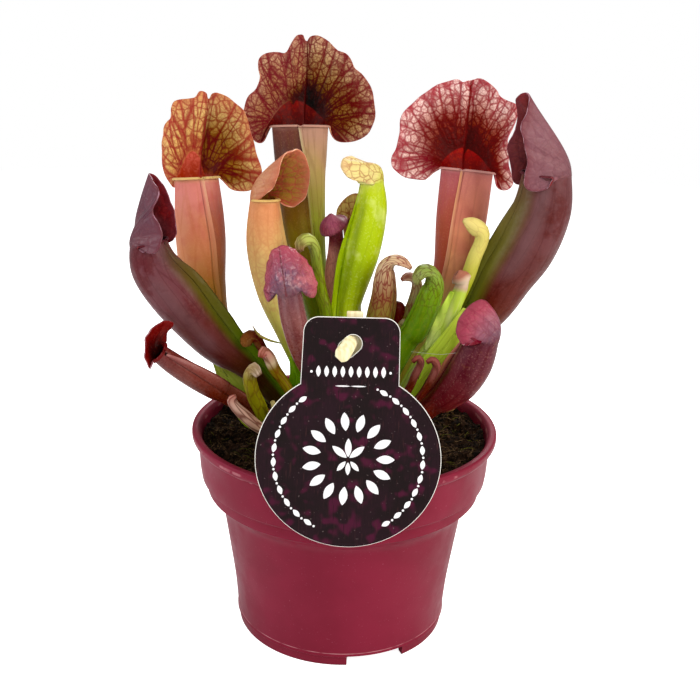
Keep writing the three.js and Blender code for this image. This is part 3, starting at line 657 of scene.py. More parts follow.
    # deep tones are kept deep under the studio's pale reflections
    # tube and lid each get a gain: partly the leaf's own brightness, partly painted light that lifts tubes
    # lying in other leaves' shade
    raised = vectorMath("SCALE", color, ease(v, 0.96, 1.06, *look["tone"]))
    cut = look["cut"]
    deepened = vectorMath("SUBTRACT", raised, (cut, cut, cut * 1.2))
    plug(shader["Base Color"], vectorMath("MAXIMUM", deepened, (0.001, 0.001, 0.001)))
    grain = cloud(body, 900.0, 3.0)
    normal = bumpOf(grain, 0.0001, look["rub"])
    normal = bumpOf(cloud(body, 160.0), 0.0012, look["wavy"], normal)
    for cells, distance in swells:
        normal = bumpOf(cells, distance * mm, 1.0, normal)
    plug(shader["Normal"], normal)
    plug(shader["Roughness"], ease(grain, 0.3, 0.7, rough - 0.07, rough + 0.1))
    return material


def rimSkin(name, look):
    material, tree, shader = newMaterial(name, {"Roughness": 0.4})
    mask = mottleOf(bodyOf(tree), 260.0, 0.4, 0.62)
    plug(shader["Base Color"], mixColor(mask, look["edge"], look.get("edgeTwo", look["edge"])))
    return material


# A spine's rows are x, y, z and the tube's half widths across and front to back. An outline's rows are
# the lid's margin from the mouth's middle: sideways, up and forward. A row of colours starts with its
# place up the leaf: 0 at the foot, 1 at the lip and 2 at the lid's margin. Rows of nets are scale, stretch,
# width and strength, then on a tube a colour and where it starts and ends. Rows of flush are a colour,
# scale, low, high, strength, start and end.
crookLook = dict(
    skin="0 #4a1c10, 0.5 #5a2016, 0.74 #6a2c20, 0.88 #9a5a54, 1 #7a3834",
    tubeNets="5 0.2 0.2 0.5 #4a140e 0 1.2")
leaves = {
    "pitcher_tall_centre": dict(
        slot="leaf_olive_gold", grain=(90, 26, 120, 56), foot=(0, 19, 2.8), face=-90, wing=1, sweep=-4,
        hug=1, keel=(20, 30, 3), midrib=0.525, notch=0.8, ruffle=(0.5, 13), lip=0.4, fold=1.4,
        spine="-8 25 105 4.1, -13 29 126 5.8, -17.5 34 147 8, -20 41 171 9.8, -20.7 46 183 10.9 10.2, "
              "-21 47.8 193 11.6 10.5",
        outline="-11.7 -0.3 0.5, -13.8 -1.6 1, -14.1 -4.9 2, -16.1 -6.4 2, -18.9 -5.5 0, -21.3 -1.6 -3, "
                "-23.8 3.4 -4.5, -23.2 7.5 -6, -21.6 11.6 -7.5, -18.5 14.6 -9, -17.3 18.6 -10, "
                "-17.9 22.7 -11, -17.6 26.1 -12, -14.8 28.4 -13, -10.3 28.6 -15, -6.9 28.7 -16, "
                "-4.8 32.2 -16.5, -2.6 35.4 -17, -0.1 35.9 -17.5, 1.2 33.9 -17.5, 3.1 35.1 -17, "
                "6.6 35.6 -16.5, 10 33.9 -16, 14.2 30.4 -15, 17.8 28.9 -14, 20.1 26.5 -13, "
                "21.9 23.2 -12, 25 20.6 -11, 28 17.2 -10, 29.6 12.5 -8.5, 30.5 7.2 -7, 30.1 2.1 -5, "
                "27.6 -2.3 -3, 23.4 -4.8 -2, 17.9 -5.7 -1, 14.5 -4.8 0, 12.1 -1.8 0.5, 11.4 -0.3 0.3",
        look=dict(
            # painted shade: the skin's dark browns on the tube's left side stand in for the shadow beside
            # the wing, and the right colours are lighter as the lit side
            skin="0 #5f8a10, 0.45 #70880c, 0.6 #8a841c, 0.72 #80601e, 0.82 #6a4828, 0.92 #5e3a35, "
                 "1.15 #8a4a42, 1.6 #a8604a, 2 #b8684e",
            right="0 #5f9c0c, 0.45 #7fb414, 0.6 #98b42a, 0.7 #a2a83c, 0.8 #a4964c, 0.9 #ae8c60, "
                  "1 #b48a76",
            inner="0.6 #3a0a08, 1 #6a3a38, 1.2 #8e6450, 1.45 #b48a5c, 1.75 #caa474, 1.93 #dab08c, "
                  "2 #cc8c7c",
            wing="0.2 #7f9a20, 0.55 #a3a64a, 0.8 #b5a268, 1 #b9a886",
            nets="1.4 0.3 0.15 0.95, 3.2 1 0.16 0.85, 8 1 0.18 0.6",
            tubeNets="2.6 0.12 0.1 0.3 #6d4a2a 0.2 1",
            flush="#8a4a3c 60 0.4 0.62 0.5 1.2 2.1, #c09a80 50 0.45 0.7 0.3 0.88 1",
            throat=dict(at=-0.29, half=1.25, skew=0.2, high=1, cleft=-0.08, code="#7a140a",
                        deep="#500805", speck="#96482a", halo="#6a2c38"),
            backNets=0.35, lip="#c09080", heart=(0.2, 0.9, 1.3, "#6d4a2a"), tone=(1, 0.92),
            edge="#b0584a", edgeTwo="#d79a6a", crease=0.525, creaseCode="#5a1420",
            sides=("#fff4f0", "#bcae98"), edgeFrom=1.93, edgeShare=0.15,
            veins=("#54182a", "#641c2c", "#7c2c36"))),
    "pitcher_tall_left": dict(
        slot="leaf_gold", grain=(90, 26, 116, 54), foot=(-9, 15, 2.8), face=-90, wing=1.4, sweep=6,
        hug=1, keel=(40, 46, 20), midrib=0.51, notch=0.8, ruffle=(0.45, 12), lip=0.45, fold=1.2,
        spine="-45 19 99 5.3, -54 21 116 6.9, -58 24 132 8.6, -59.5 27 152 10, -61 30 174 8.6 8",
        outline="-8.4 -0.3 0.5, -8.3 -1.9 1, -8.9 -3.6 1, -11.1 -1.9 -1, -13.2 1.2 -3, -14.4 5.7 -4.5, "
                "-14.6 10.1 -6, -14.2 14.7 -7, -14 18.7 -8, -12.6 21 -8.5, -11.3 22.6 -9, -11 25.9 -10, "
                "-10 28.7 -10.5, -7 29.9 -11.5, -3.6 30.2 -12, -1.6 30.6 -12, -0.2 32.8 -12.5, "
                "1.2 33.1 -13, 2.8 32.4 -13, 3.6 30.8 -13, 4.9 31.9 -12.5, 7.2 32.6 -12, 10.7 31.5 -12, "
                "14 29 -11.5, 17.4 26.7 -11, 18.7 24.4 -10.5, 20.4 18.9 -9.5, 21.7 15 -8.5, "
                "23 10.3 -7.5, 24.3 6.4 -6.5, 25.5 3.2 -5.5, 25.5 0.5 -4, 23.4 -3 -3, 20.3 -4.7 -2, "
                "16.3 -4.7 -1, 13 -3.4 0, 10.4 -0.7 0.5, 8.3 -0.2 0.3",
        look=dict(
            skin="0 #7aa020, 0.28 #7aa01c, 0.38 #727c12, 0.5 #867e12, 0.58 #9c7c22, 0.66 #b47e38, "
                 "0.78 #c4805a, 0.97 #cc7a70, 1.3 #c8705a, 2 #cf8058",
            right="0 #7aa020, 0.3 #7f9a18, 0.46 #86741c, 0.6 #84681e, 0.72 #96603a, 0.9 #a86258, "
                  "1 #c88478",
            inner="0.6 #7a1a14, 1 #a8503a, 1.2 #cc8a54, 1.5 #dcae68, 1.8 #e6c07c, 2 #dc9a68",
            wing="0.2 #7f8a1c, 0.6 #b08244, 0.85 #c47f62, 1 #dca888",
            nets="1.3 0.34 0.15 0.95, 2.8 1 0.15 0.8, 6.5 1 0.16 0.45",
            tubeNets="2.6 0.12 0.1 0.25 #b0603a 0.3 1",
            flush="#b24a4a 80 0.42 0.66 0.5 0.75 1.4, #c8704a 50 0.4 0.7 0.3 0.4 0.9",
            throat=dict(at=-0.3, half=0.56, skew=0, high=0.95, cleft=2, code="#cc5a4c", deep="#a03424",
                        speck="#d8705c", halo="#a84438"),
            backNets=0.3, lip="#dcb878", tone=(1.12, 0.96), edgeFrom=1.93, edgeShare=0.15,
            edge="#cf7858", edgeTwo="#e8b080", crease=0.51, creaseCode="#9a3434",
            sides=("#fff6f0", "#a09078"), veins=("#6a1c24", "#8f2c30", "#a8423c"))),
    "pitcher_tall_right": dict(
        slot="leaf_crimson", grain=(90, 26, 116, 54), foot=(12, 14, 2.8), face=-90, wing=1.3, sweep=-2,
        hug=1, keel=(-62, -40, -17), midrib=0.475, notch=0.8, ruffle=(0.5, 13), lip=0.4, fold=1.4,
        spine="31 19 109 4.9, 39 21 127 6.9, 43 24 143 8.8, 44.5 27 161 10, 46 30 179.5 10.3 9.5",
        outline="-11.5 -0.2 0.5, -14.3 -1.4 1, -16.6 -3.5 1, -20.9 -3.6 -0.5, -25.6 -2.5 -2, "
                "-29.2 0 -4, -29.8 4.1 -5.5, -28.2 7.9 -6.5, -27 13.4 -7.5, -26.8 18.9 -8.5, "
                "-24.5 22.9 -10, -21 25.9 -11.5, -17.5 28.9 -12.5, -12.7 32 -13.5, -7.1 34.1 -14, "
                "-4 34.3 -14.5, -2 33.3 -14.5, 0.8 35.1 -14.5, 4.7 35 -14, 8.7 33.2 -13.5, "
                "11.5 30.5 -13, 12.7 28.5 -12.5, 15.9 27 -12, 19 25.5 -11.5, 20.1 23 -11, "
                "19.7 20.1 -10, 18.1 16.2 -9, 16.5 11.6 -8, 17.3 6.9 -7, 17.2 2.6 -5.5, 18.3 -2 -4, "
                "19.1 -4.8 -3, 17.1 -7 -2, 13.9 -7.1 -1, 11.9 -5.4 0, 11.2 -2 0.5, 10.4 -0.1 0.3",
        look=dict(
            skin="0 #7a8a14, 0.35 #8a7a1c, 0.5 #a0742e, 0.6 #a86038, 0.7 #a44c38, 0.85 #a65044, "
                 "1 #9c525a, 1.4 #a8484a, 2 #b8545a",
            # painted light: the right side's pale creams, palest low down, partly the leaf's own colour and
            # partly lift the tube where neighbouring leaves shade it
            right="0 #a8b030, 0.28 #ccb858, 0.5 #f0d892, 0.6 #f0cc8c, 0.68 #e4a878, 0.76 #d48a66, "
                  "0.88 #c87a66, 1 #b06864",
            inner="0.6 #3a0504, 1 #7a2a2a, 1.25 #94404a, 1.5 #c48c82, 1.75 #f0c8bc, 1.92 #fbdcd4, "
                  "2 #f0b8b4",
            wing="0.2 #a09a48, 0.5 #c8806c, 0.8 #dca080, 1 #d8a06c",
            nets="1.6 0.3 0.15 0.9, 3.5 1 0.18 0.85, 8.5 1 0.18 0.5",
            tubeNets="2.6 0.14 0.1 0.25 #9a4a3a 0.3 1",
            flush="#6a1018 60 0.36 0.6 0.7 1.05 1.55, #a84a4a 60 0.4 0.66 0.4 0.5 1",
            throat=dict(at=-0.1, half=1.09, skew=0, high=0.8, cleft=0.1, code="#96180c", deep="#700a05",
                        speck="#b04c30", halo="#7a1c28"),
            backNets=0.3, lip="#c89088", heart=(-0.7, 1.3, 2, "#9a4a3a"), tone=(1.35, 1), edgeFrom=1.93,
            edgeShare=0.12, edge="#b04650", edgeTwo="#d68a80", crease=0.475, creaseCode="#6a1018",
            sides=("#fff6f6", "#b87a6e"), veins=("#4a0c18", "#701a2c", "#a43c48"))),
    "pitcher_dark_left": dict(
        slot="leaf_plum", grain=(96, 26, 72, 44), foot=(-16, 7, 2.6), face=-20, wing=3.6, sweep=10,
        hood=0.05, rise=0.28, midrib=0.6, cornerGrain=12, ruffle=(0.25, 8), groove=0.3, lip=0.3,
        spine="-36 3 103 5.1, -48 1 114 8, -55 0 122 9.2, -64.5 -1 134.5 10.4, -72.5 -2 145.5 9.3, "
              "-75 -2 155 7",
        outline="-7 0 0.6, -7.9 -1 2.2, -8.5 -1.7 4.4, -8.8 -1.6 6.6, -8.6 -0.2 8.7, -7.8 2.9 10, "
                "-7.3 5.8 10.1, -7 10.5 8.2, -6.8 13.5 6, -6.8 15.7 6.6, -6.6 19.1 8.7, -6 21.3 8.4, "
                "-3.6 24.6 4.7, -0.6 26.3 1.4, 2.4 24.6 3.3, 4 20.8 5.6, 5.6 13.7 7.7, 6.2 9.1 8.4, "
                "6.6 3.8 8.6, 6.6 0.7 7.2, 6.6 -1.2 4.4, 7 0 0.8",
        look=dict(
            skin="0 #5a6a10, 0.2 #4a3f14, 0.4 #522c1a, 0.62 #622a26, 0.85 #643238, 1.05 #603842, "
                 "1.5 #5e3844, 2 #643e4c",
            inner="0.6 #2a0408, 1 #6a3a40, 1.3 #703c44, 1.7 #7a2024, 2 #84181c",
            wing="0.15 #7aa020, 0.42 #6a8a1c, 0.62 #5c5e1c, 0.85 #5c4a20, 1 #5a3a34",
            nets="1.4 0.3 0.08 0.2, 3 1 0.1 0.3",
            tubeNets="2.4 0.16 0.08 0.35 #4a161c 0.2 1.1",
            flush="#7c4a52 45 0.42 0.62 0.45 0.55 2.2, #5a1a20 110 0.5 0.62 0.6 0.5 1.1, "
                  "#6f8a30 60 0.45 0.7 0.25 0.1 0.4",
            backNets=0.6, lip="#5a2830", edge="#6a303a", edgeTwo="#a07080", finFrom=-0.03,
            band=(0.02, 0.1), paintedLightStreak=(0.8, 0.08, 0.62, 0.85, "#74565a"), tone=(0.9, 0.95), wingShare=1,
            cut=0.01, rough=0.36, bloom=0.06, speck=("#8a4a48", 1300, 0.2),
            veins=("#3a0c14", "#4a1620", "#5a2430"))),
    "pitcher_dark_right": dict(
        slot="leaf_plum", grain=(100, 26, 76, 48), foot=(17.5, 8, 2.6), face=183, keel=(15, 17, 15),
        wing=3.4, sweep=-10, rise=0.22, cornerGrain=12, ruffle=(0.25, 8), groove=0.3, lip=0.3,
        spine="47 8 119 7, 55.5 7.5 133 9.6, 61 7 144 10.9, 67.5 6 156 11.8, 72.5 6 170 11, "
              "73.3 6 183 9.1",
        outline="-8.8 0.2 0.9, -8.2 -3 4, -7 -5.3 8, -7 -3.8 11.4, -7 1.8 12.5, -6.8 6 13.9, "
                "-6.5 9.7 14.4, -5.6 15.9 12.2, -4.6 20.7 11.8, -3 26.2 13.1, -1.6 28.5 12.5, "
                "0 29.6 11, 1.4 29 9.4, 3 25.6 9.4, 4.6 22 10.7, 6 17.7 12.4, 6.8 13 11.2, 7.8 6.3 9.5, "
                "8.6 1.9 10.1, 9.4 -2.1 10.4, 10 -4.2 8.7, 10.4 -4.5 5.1, 10.4 -3.6 2.5, 9.8 -1.2 1.5, "
                "9.2 0.2 0.8",
        look=dict(
            skin="0 #8a8a1c, 0.3 #8f7a28, 0.44 #8a5430, 0.6 #742e26, 0.8 #6e3838, 0.95 #78484c, "
                 "1.1 #7e525a, 1.5 #90626c, 2 #8a5862",
            inner="0.6 #2a0408, 1 #8a5a62, 1.3 #a06c76, 1.55 #7a3c40, 1.75 #8a2c2c, 2 #96302c",
            wing="0.15 #8aa828, 0.45 #8f9c2c, 0.7 #7f7c34, 1 #74543c",
            nets="1.4 0.3 0.08 0.2, 3 1 0.1 0.4",
            tubeNets="2.4 0.16 0.08 0.3 #4f1a1c 0.2 1.1",
            flush="#8a565c 45 0.42 0.62 0.45 0.7 2.2, #64201f 110 0.5 0.62 0.5 0.4 1, "
                  "#7a8a30 60 0.45 0.7 0.3 0.1 0.45",
            backNets=0.6, lip="#6a343c", edge="#7a3a44", edgeTwo="#b58590", finFrom=-0.03,
            band=(0.05, 0.17), paintedLightStreak=(0.19, 0.08, 0.72, 0.96, "#8c686c"), tone=(0.65, 0.8), wingShare=1,
            cut=0.01, rough=0.38, bloom=0.06, speck=("#9a5850", 1300, 0.2),
            veins=("#4a1a24", "#5c2a36", "#6a3844"))),
    "pitcher_gold": dict(
        slot="leaf_gold", grain=(70, 22, 64, 36), foot=(-7.5, 8.5, 2.4), face=-50, wing=2.6, sweep=30,
        hug=0.6, keel=(10, 34, 52), curl=(0.55, 0.42), ruffle=(0.3, 9), groove=0.5, lip=0.4,
        spine="-17 10 102 3.7, -23 11 118 5.3, -29 12 134 6.8, -32.5 12.5 152 7.3, -33 14 169 5.4",
        outline="-5 0 2, -3.8 3.6 6, -1.6 7.6 9, -0.4 12.4 10, 1 17 9.8, 4.6 20.3 10.4, 8.6 20.2 10.3, "
                "12 16.8 10.7, 14 11.5 10.3, 14.3 5.5 9.5, 12.6 0.4 8.6, 9.6 -2.2 7.2, 6.6 -2 4.8, "
                "5 -0.3 2",
        look=dict(
            skin="0 #a8cc38, 0.3 #a8c03a, 0.45 #b8c044, 0.6 #dccc74, 0.72 #d8ba74, 0.86 #cca468, "
                 "0.97 #c88c5e, 1.1 #c8845e, 1.6 #d49a74, 2 #c87c5c",
            inner="0.6 #5a3a14, 1 #6e461e, 1.3 #8a6028, 1.7 #a67c3a, 2 #b8704e",
            wing="0.2 #b0c040, 0.6 #d8c068, 1 #e0b070",
            nets="1.6 0.34 0.1 0.7, 2.3 1 0.09 0.85, 6 1 0.1 0.25",
            tubeNets="2.8 0.2 0.08 0.25 #b0643c 0.35 1.1, 7 0.6 0.2 0.35 #c07850 0.6 1.1",
            flush="#c8704c 60 0.44 0.68 0.25 0.85 1.6, #d8b060 50 0.4 0.7 0.4 0.3 0.8",
            backNets=0.3, tone=(1.22, 0.9), lip="#e8c078", edge="#cf7a60", edgeTwo="#e8ac84",
            veins=("#9a3a30", "#a8443a", "#b85a48"))),
    "pitcher_lime": dict(
        slot="leaf_lime", grain=(70, 22, 48, 30), foot=(3.5, 7.5, 2.4), face=195, wing=3, sweep=15,
        ruffle=(0.2, 7), groove=0.3, lip=0.3, hood=0.2, rise=0.5,
        spine="-0.5 8 112 3.6, 0.5 8 130 4.8, 5 9 151 6.9, 8 11 167 6.2, 8.2 12 177 4.6",
        outline="-4.6 0 1.6, -5 3 2, -4.6 6.5 3.5, -3 9 5.5, 0 10.4 8.5, 3 10.6 11.6, 5.4 9.6 13.4, "
                "6.6 7.3 13.8, 6.8 4.2 11.9, 6.4 2.2 8.7, 5.6 1.8 5.4, 4.8 0.2 2.4",
        look=dict(
            # painted light: the palest limes toward the foot are partly the leaf's own pale green, partly
            # lift the tube where other leaves shade it
            skin="0 #ecff80, 0.35 #e4f45c, 0.55 #c4dc2c, 0.7 #a8c40c, 0.95 #b4c814, 1.1 #c8cc5a, "
                 "1.4 #e6d688, 2 #ecd890",
            inner="0.6 #8a9c20, 1 #b8c848, 1.5 #ecdc92, 2 #f0d898",
            wing="0.2 #a0b81c, 1 #92ac10",
            nets="2 0.4 0.08 0.3, 3.4 1 0.12 0.8",
            tubeNets="2.6 0.12 0.1 0.35 #8fa61c 0 1",
            flush="#dce680 90 0.5 0.66 0.6 0.62 1.1, #86a008 40 0.42 0.62 0.5 0.1 0.9",
            backNets=0.9, lip="#dfe08a", edge="#ecc890", edgeTwo="#f4e2b0",
            paintedLightStreak=(0.12, 0.07, 0.25, 0.9, "#52640a"), tone=(0.98, 0.95), speck=("#dfe88a", 1200, 0.25),
            veins=("#8a6a2c", "#a8703c", "#b0684a"))),
    "pitcher_plum_front": dict(
        slot="leaf_mauve", grain=(64, 20, 56, 32), foot=(-4, -4.5, 2.2), face=90, wing=1.6, hood=0.22,
        cornerGrain=12, ruffle=(0.22, 5), groove=-0.6, midrib=0.55, lip=0.3,
        spine="-12 -7 103 3.2, -16 -9 114 4.2, -19.5 -12 128 4.9, -21.5 -14.5 140.5 4.5",
        outline="-4.3 -0.4 1.2, -6 -1.6 2.6, -8 -3 3.8, -9.6 -2.2 5, -10.2 1 6.2, -8.9 5.5 7.8, "
                "-6 10.3 8.8, -2 14 8.6, 1.6 15.9 8, 5 15.3 8, 7.6 12.8 8, 8.8 8.6 7, 9.4 3.5 5.8, "
                "9.6 -1.2 4.6, 8.6 -4.4 3.6, 6.4 -3.8 2.6, 4.3 -0.6 1.2",
        look=dict(
            skin="0 #5c2618, 0.35 #6c3226, 0.6 #80443c, 0.85 #8c5654, 1 #6c4650, 1.3 #6e4e62, "
                 "1.55 #80546a, 1.75 #a05064, 2 #ac4c60",
            inner="0.6 #3a0a10, 1 #5a1420, 2 #8a3040",
            nets="1.2 0.3 0.06 0.2, 3 1 0.2 0.35",
            tubeNets="3.2 0.14 0.14 0.55 #6a2c30 0.1 1.05",
            flush="#d88088 120 0.5 0.64 0.6 1.35 2.2, #7a4048 90 0.45 0.65 0.5 0.2 1.2",
            backNets=1, creaseCode="#74303c", crease=0.55, lip="#7a3a42", edge="#b85464",
            edgeTwo="#e0929a", pucker=0.9, rough=0.3, gloss=0.5, tone=(1.15, 1), rub=0.2, wavy=0.2,
            speck=("#e0a0a0", 1100, 0.12), veins=("#6a3a44", "#8a4a56", "#a84454"))),
    "pitcher_low_left": dict(
        slot="leaf_oxblood", grain=(64, 20, 48, 28), foot=(-16, -2.5, 2.2), face=-30, wing=3.2, sweep=40,
        ruffle=(0.2, 6), groove=0.4, lip=0.7,
        spine="-44 -9 96 3, -50 -12 101 3.9, -57 -15 107 4.4, -64 -18 113 4.1, -69 -20.5 118 3.5",
        outline="-3.5 -1 1, -4 -5.4 -1, -5 -1 -2.5, -4 5.5 -3, -1 8.6 -3, 4.5 10.7 -2, 8.5 9.6 0, "
                "6 6.5 -0.5, 3.5 2.5 1",
        look=dict(
            skin="0 #4a2214, 0.4 #62281a, 0.8 #662a24, 1 #6a3034, 1.5 #6a1c22, 2 #5a1018",
            inner="0.6 #1a0204, 1 #2c0406, 1.4 #4a0608, 1.8 #6a0c10, 2 #6a1418",
            wing="0.2 #743424, 0.6 #8a4a40, 1 #a06060",
            nets="3 0.7 0.1 0.25",
            tubeNets="3 0.14 0.1 0.3 #4f1a14 0.1 1",
            flush="#8a4a44 60 0.45 0.66 0.4 0.2 1",
            backNets=0.5, lip="#6a2428", edge="#7a2830", edgeTwo="#a87880", rough=0.3, gloss=0.4,
            speck=("#9a5a50", 1300, 0.2), veins=("#300408", "#3a060a", "#5a0c12"))),
    "pitcher_low_right": dict(
        slot="leaf_mauve", grain=(70, 22, 56, 32), foot=(15, -8, 2.4), face=150, wing=3, hood=0.3,
        cornerGrain=12, ruffle=(0.2, 6), groove=0.2, lip=0.3,
        spine="32 -11 95 4.2, 38 -14 101 5.7, 43 -17 108 7.1, 47 -19.5 117 7.3, 50 -21.6 127.4 5.7",
        outline="-5.4 0.2 0.8, -6.4 0.6 3, -6.5 4 4.6, -5.6 8 3.6, -4.4 11 1.8, -2.5 12.8 0.8, "
                "0 14 2.1, 2 13.3 3.9, 4 10.8 6, 5.8 6.7 8.1, 6.6 3.1 8.3, 7.2 0.4 7.1, 7.6 -1.4 5.2, "
                "7.4 -1.2 2.9, 6.6 -0.2 1.2, 5.7 0.2 0.5",
        look=dict(
            skin="0 #7a2c1c, 0.3 #843220, 0.6 #742a2e, 0.85 #62303a, 1.05 #5c3440, 1.35 #765260, "
                 "1.65 #985c6c, 1.85 #a84c5e, 2 #8f3448",
            inner="0.6 #2a0408, 1 #4a0c14, 2 #7a2a38",
            wing="0.2 #8a3a20, 0.5 #a86a3c, 0.8 #c0785c, 1 #b87070",
            nets="1.2 0.3 0.06 0.2, 3.2 1 0.12 0.35",
            tubeNets="2.6 0.12 0.1 0.5 #4a1420 0.1 1.1",
            flush="#a86a3c 300 0.56 0.7 0.25 0.8 1.12, #5a1c28 60 0.42 0.62 0.5 0.3 1",
            backNets=1, lip="#7a3440", edge="#9a4a58", edgeTwo="#d8a0a8", rough=0.36,
            speck=("#b07a70", 1300, 0.22), veins=("#4f1a28", "#6a2438", "#8a2c40"))),
    "pitcher_netted_back": dict(
        slot="leaf_olive", grain=(50, 14, 36, 22), foot=(6, 14.5, 1.9), face=-90, wing=0.8,
        ruffle=(0.2, 6), groove=0.3, lip=0.6,
        spine="2 19 133 3.3, 2 23 148 3.6, 1 27 159 3.8",
        outline="-3.6 0 0, -6.2 0.5 -2, -5.8 5 -3.5, -2.5 9 -4, 1 10.8 -4, 4.6 9.4 -4, 6.5 5 -3.5, "
                "6 0 -2, 3.6 0 0",
        look=dict(
            skin="0 #8a9a34, 0.6 #93863a, 1 #8a5a3c, 2 #9a7040",
            inner="0.6 #3a1410, 1 #6a3a28, 1.3 #9a7a48, 2 #ac9656",
            nets="2.4 0.4 0.08 0.6, 3 1 0.1 0.8",
            backNets=0.5, lip="#8a5a40", edge="#8a5a40", veins=("#5a2a20", "#6a3026", "#7a4030"))),
    "bud_purple_cap": dict(
        slot="leaf_russet", grain=(150, 40), foot=(-1, 13, 1.8), face=200, wing=0.5,
        spine="-4 15 126 2.8, -6 16 139 3.1, -5 16 151 3, -5.3 15.8 158 3 2.9, -5.9 15.4 159.4 6.3 5.8, "
              "-6.5 14.9 160.6 5.6 5.2, -6.9 14.6 162.2 3.8 3.6, -7.1 14.4 163.8 1.6 1.5, "
              "-7.2 14.4 164.6 0.4 0.4",
        look=dict(
            skin="0 #a0b048, 0.4 #b09a50, 0.62 #cc9070, 0.84 #b87870, 0.91 #6a2430, 0.94 #8a3c50, "
                 "0.97 #a85c74, 1 #b0647a",
            tubeNets="6 0.5 0.16 0.35 #5a2430 0.3 1.2",
            rough=0.36)),
    "bud_hooked_centre": dict(
        slot="leaf_green", grain=(72, 40), foot=(-2, 3.5, 1.6), face=180, wing=0.8,
        spine="-7 3 123 2, -10 4.5 136 2.1, -11.6 5 146 1.8, -12.8 5.6 152.6 2.3 2, -14.8 5 156 3 2.2, "
              "-17.2 4 156 2.8 2.3, -18.6 3 153.8 2.1 1.8, -17.8 2.6 152 0.8 0.7",
        look=dict(
            skin="0 #6f9a14, 0.5 #6a8a10, 0.72 #7f9220, 0.84 #8fa040, 0.94 #b4bc60, 1 #a87060",
            tubeNets="4.5 0.3 0.15 0.6 #5a4a20 0.45 1.2")),
    "bud_veined_hood": dict(
        slot="leaf_olive", grain=(84, 56), foot=(8, 1, 2), face=0, wing=1.2,
        spine="10 0 114 4.6 4.2, 12 0 127 5.6 4.8, 13.3 -1 136 5 4.4, 13.5 -2 143 4.2 3.8, "
              "14 -2.5 148.3 3.6 2.8, 17 -3 151 3.6 1.7, 20.5 -4 150.5 3 1.2, 23.6 -5 148.3 0.9 0.6",
        look=dict(
            skin="0 #6a8a14, 0.42 #809820, 0.62 #8c8a34, 0.76 #9a7048, 0.84 #b89470, 0.91 #d2b68e, "
                 "0.98 #c8a080, 1 #c07870",
            tubeNets="4.2 0.14 0.2 0.6 #7a3424 0.05 0.7, 5 0.5 0.15 0.85 #7a1f2c 0.66 1.2",
            flush="#8a3a3c 90 0.45 0.62 0.5 0.2 0.6")),
    "bud_slim_right": dict(
        slot="leaf_olive", grain=(64, 36), foot=(12, 5.5, 1.6), face=180, wing=0.4,
        spine="19 3.5 113 1.6, 22 2 125 1.9, 25 1 133.5 1.9, 26.4 0 140.5 2, 24.6 -1 143.8 2.6 1.5, "
              "22 -1.5 144.2 2.2 1.2, 20 -1.8 143 0.7 0.5",
        look=dict(
            skin="0 #8a9a24, 0.5 #7f8420, 0.72 #7a6a24, 0.82 #a8a06a, 0.92 #c0a078, 1 #b07c70",
            tubeNets="5 0.3 0.16 0.7 #7a2828 0.5 1.2")),
    "bud_green_hook": dict(
        slot="leaf_green", grain=(84, 48), foot=(4.5, -5, 2), face=180, wing=1,
        spine="22 -5 117 3.8, 26 -6 124 4.6, 29 -7 131 4.5, 31 -8 138 4.3, 32.3 -8 143.8 4 3.4, "
              "30.6 -8.3 148.2 4 2.2, 27.4 -9 148.4 3.8 1.7, 25.4 -9.4 145.6 2.6 1.2, "
              "25.6 -9.6 143.4 0.9 0.7",
        look=dict(
            skin="0 #a0c428, 0.4 #6f9810, 0.66 #5c820c, 0.8 #6f9222, 0.9 #8a9e4c, 1 #a09a62",
            tubeNets="3 0.14 0.12 0.3 #7f9a24 0 0.8, 5.5 0.5 0.12 0.75 #4f3a20 0.76 1.2",
            rough=0.34)),
    "bud_yellow_hood": dict(
        slot="leaf_lime", grain=(80, 36), foot=(13.5, 1.5, 1.6), face=180, wing=0.5,
        spine="34.5 1 118 1.8, 41 1 132 2.3, 45.4 1.5 143 2.5, 48 2 152 2.6, 50 2.3 157.5 2.6, "
              "50 2.2 161 3 2.9, 47.8 2 163 3 3.3, 45 1.6 164.8 2 2.5, 42.6 1.3 165.9 0.7 0.8",
        look=dict(
            skin="0 #8fa81c, 0.5 #98aa1c, 0.75 #aab030, 0.86 #d8cc6c, 1 #e4d080",
            tubeNets="4.5 0.4 0.1 0.3 #b08a4a 0.82 1.2")),
    "bud_beige_cap": dict(
        slot="leaf_green", grain=(72, 40), foot=(11, -3.5, 1.8), face=190, wing=0.7,
        spine="29.5 -4 113 2.2, 35.5 -4 122 2.6, 40 -4 133 2.9, 42.5 -3.6 140.4 2.6, "
              "43.1 -3.6 143.2 2.4 2.3, 42.7 -3.8 144.3 3.3 3.7, 42.1 -4 145.8 2.9 3.3, "
              "41.6 -4.2 147.2 1.6 1.9, 41.4 -4.3 147.9 0.4 0.5",
        look=dict(
            skin="0 #c4e044, 0.5 #c8de54, 0.91 #b8d04c, 0.94 #c8a890, 0.97 #dcc4a8, 1 #a86a58",
            tubeNets="2.8 0.1 0.12 0.5 #dfe0a0 0 0.85")),
    "bud_dry_cap": dict(
        slot="leaf_dry", grain=(60, 32), foot=(-9, 0.5, 1.6), face=180,
        spine="-25 -1 102 2, -30.5 -3 111.5 1.9, -33 -4 116.5 1.9 1.9, -34.8 -4.4 119.7 2.5 2.2, "
              "-37 -4.9 120.2 2.7 2.5, -38.2 -5.2 118.4 2.5 2.7, -38 -5.3 116.6 1.9 1.7",
        look=dict(
            skin="0 #8f9a44, 0.55 #b0ac74, 0.7 #a8885c, 0.76 #6a1f16, 0.9 #5a1c14, 1 #8a5a30",
            tubeNets="3 0.2 0.14 0.5 #7a5a38 0.2 1.2",
            rough=0.55)),
    "bud_pink_cap": dict(
        slot="leaf_green", grain=(60, 36), foot=(-10, -5, 1.6), face=180,
        spine="-22 -7 100 1.9, -27 -8 108 2.3, -29.3 -9 113.5 2.3, -31 -10 116.2 2.2 1.3, "
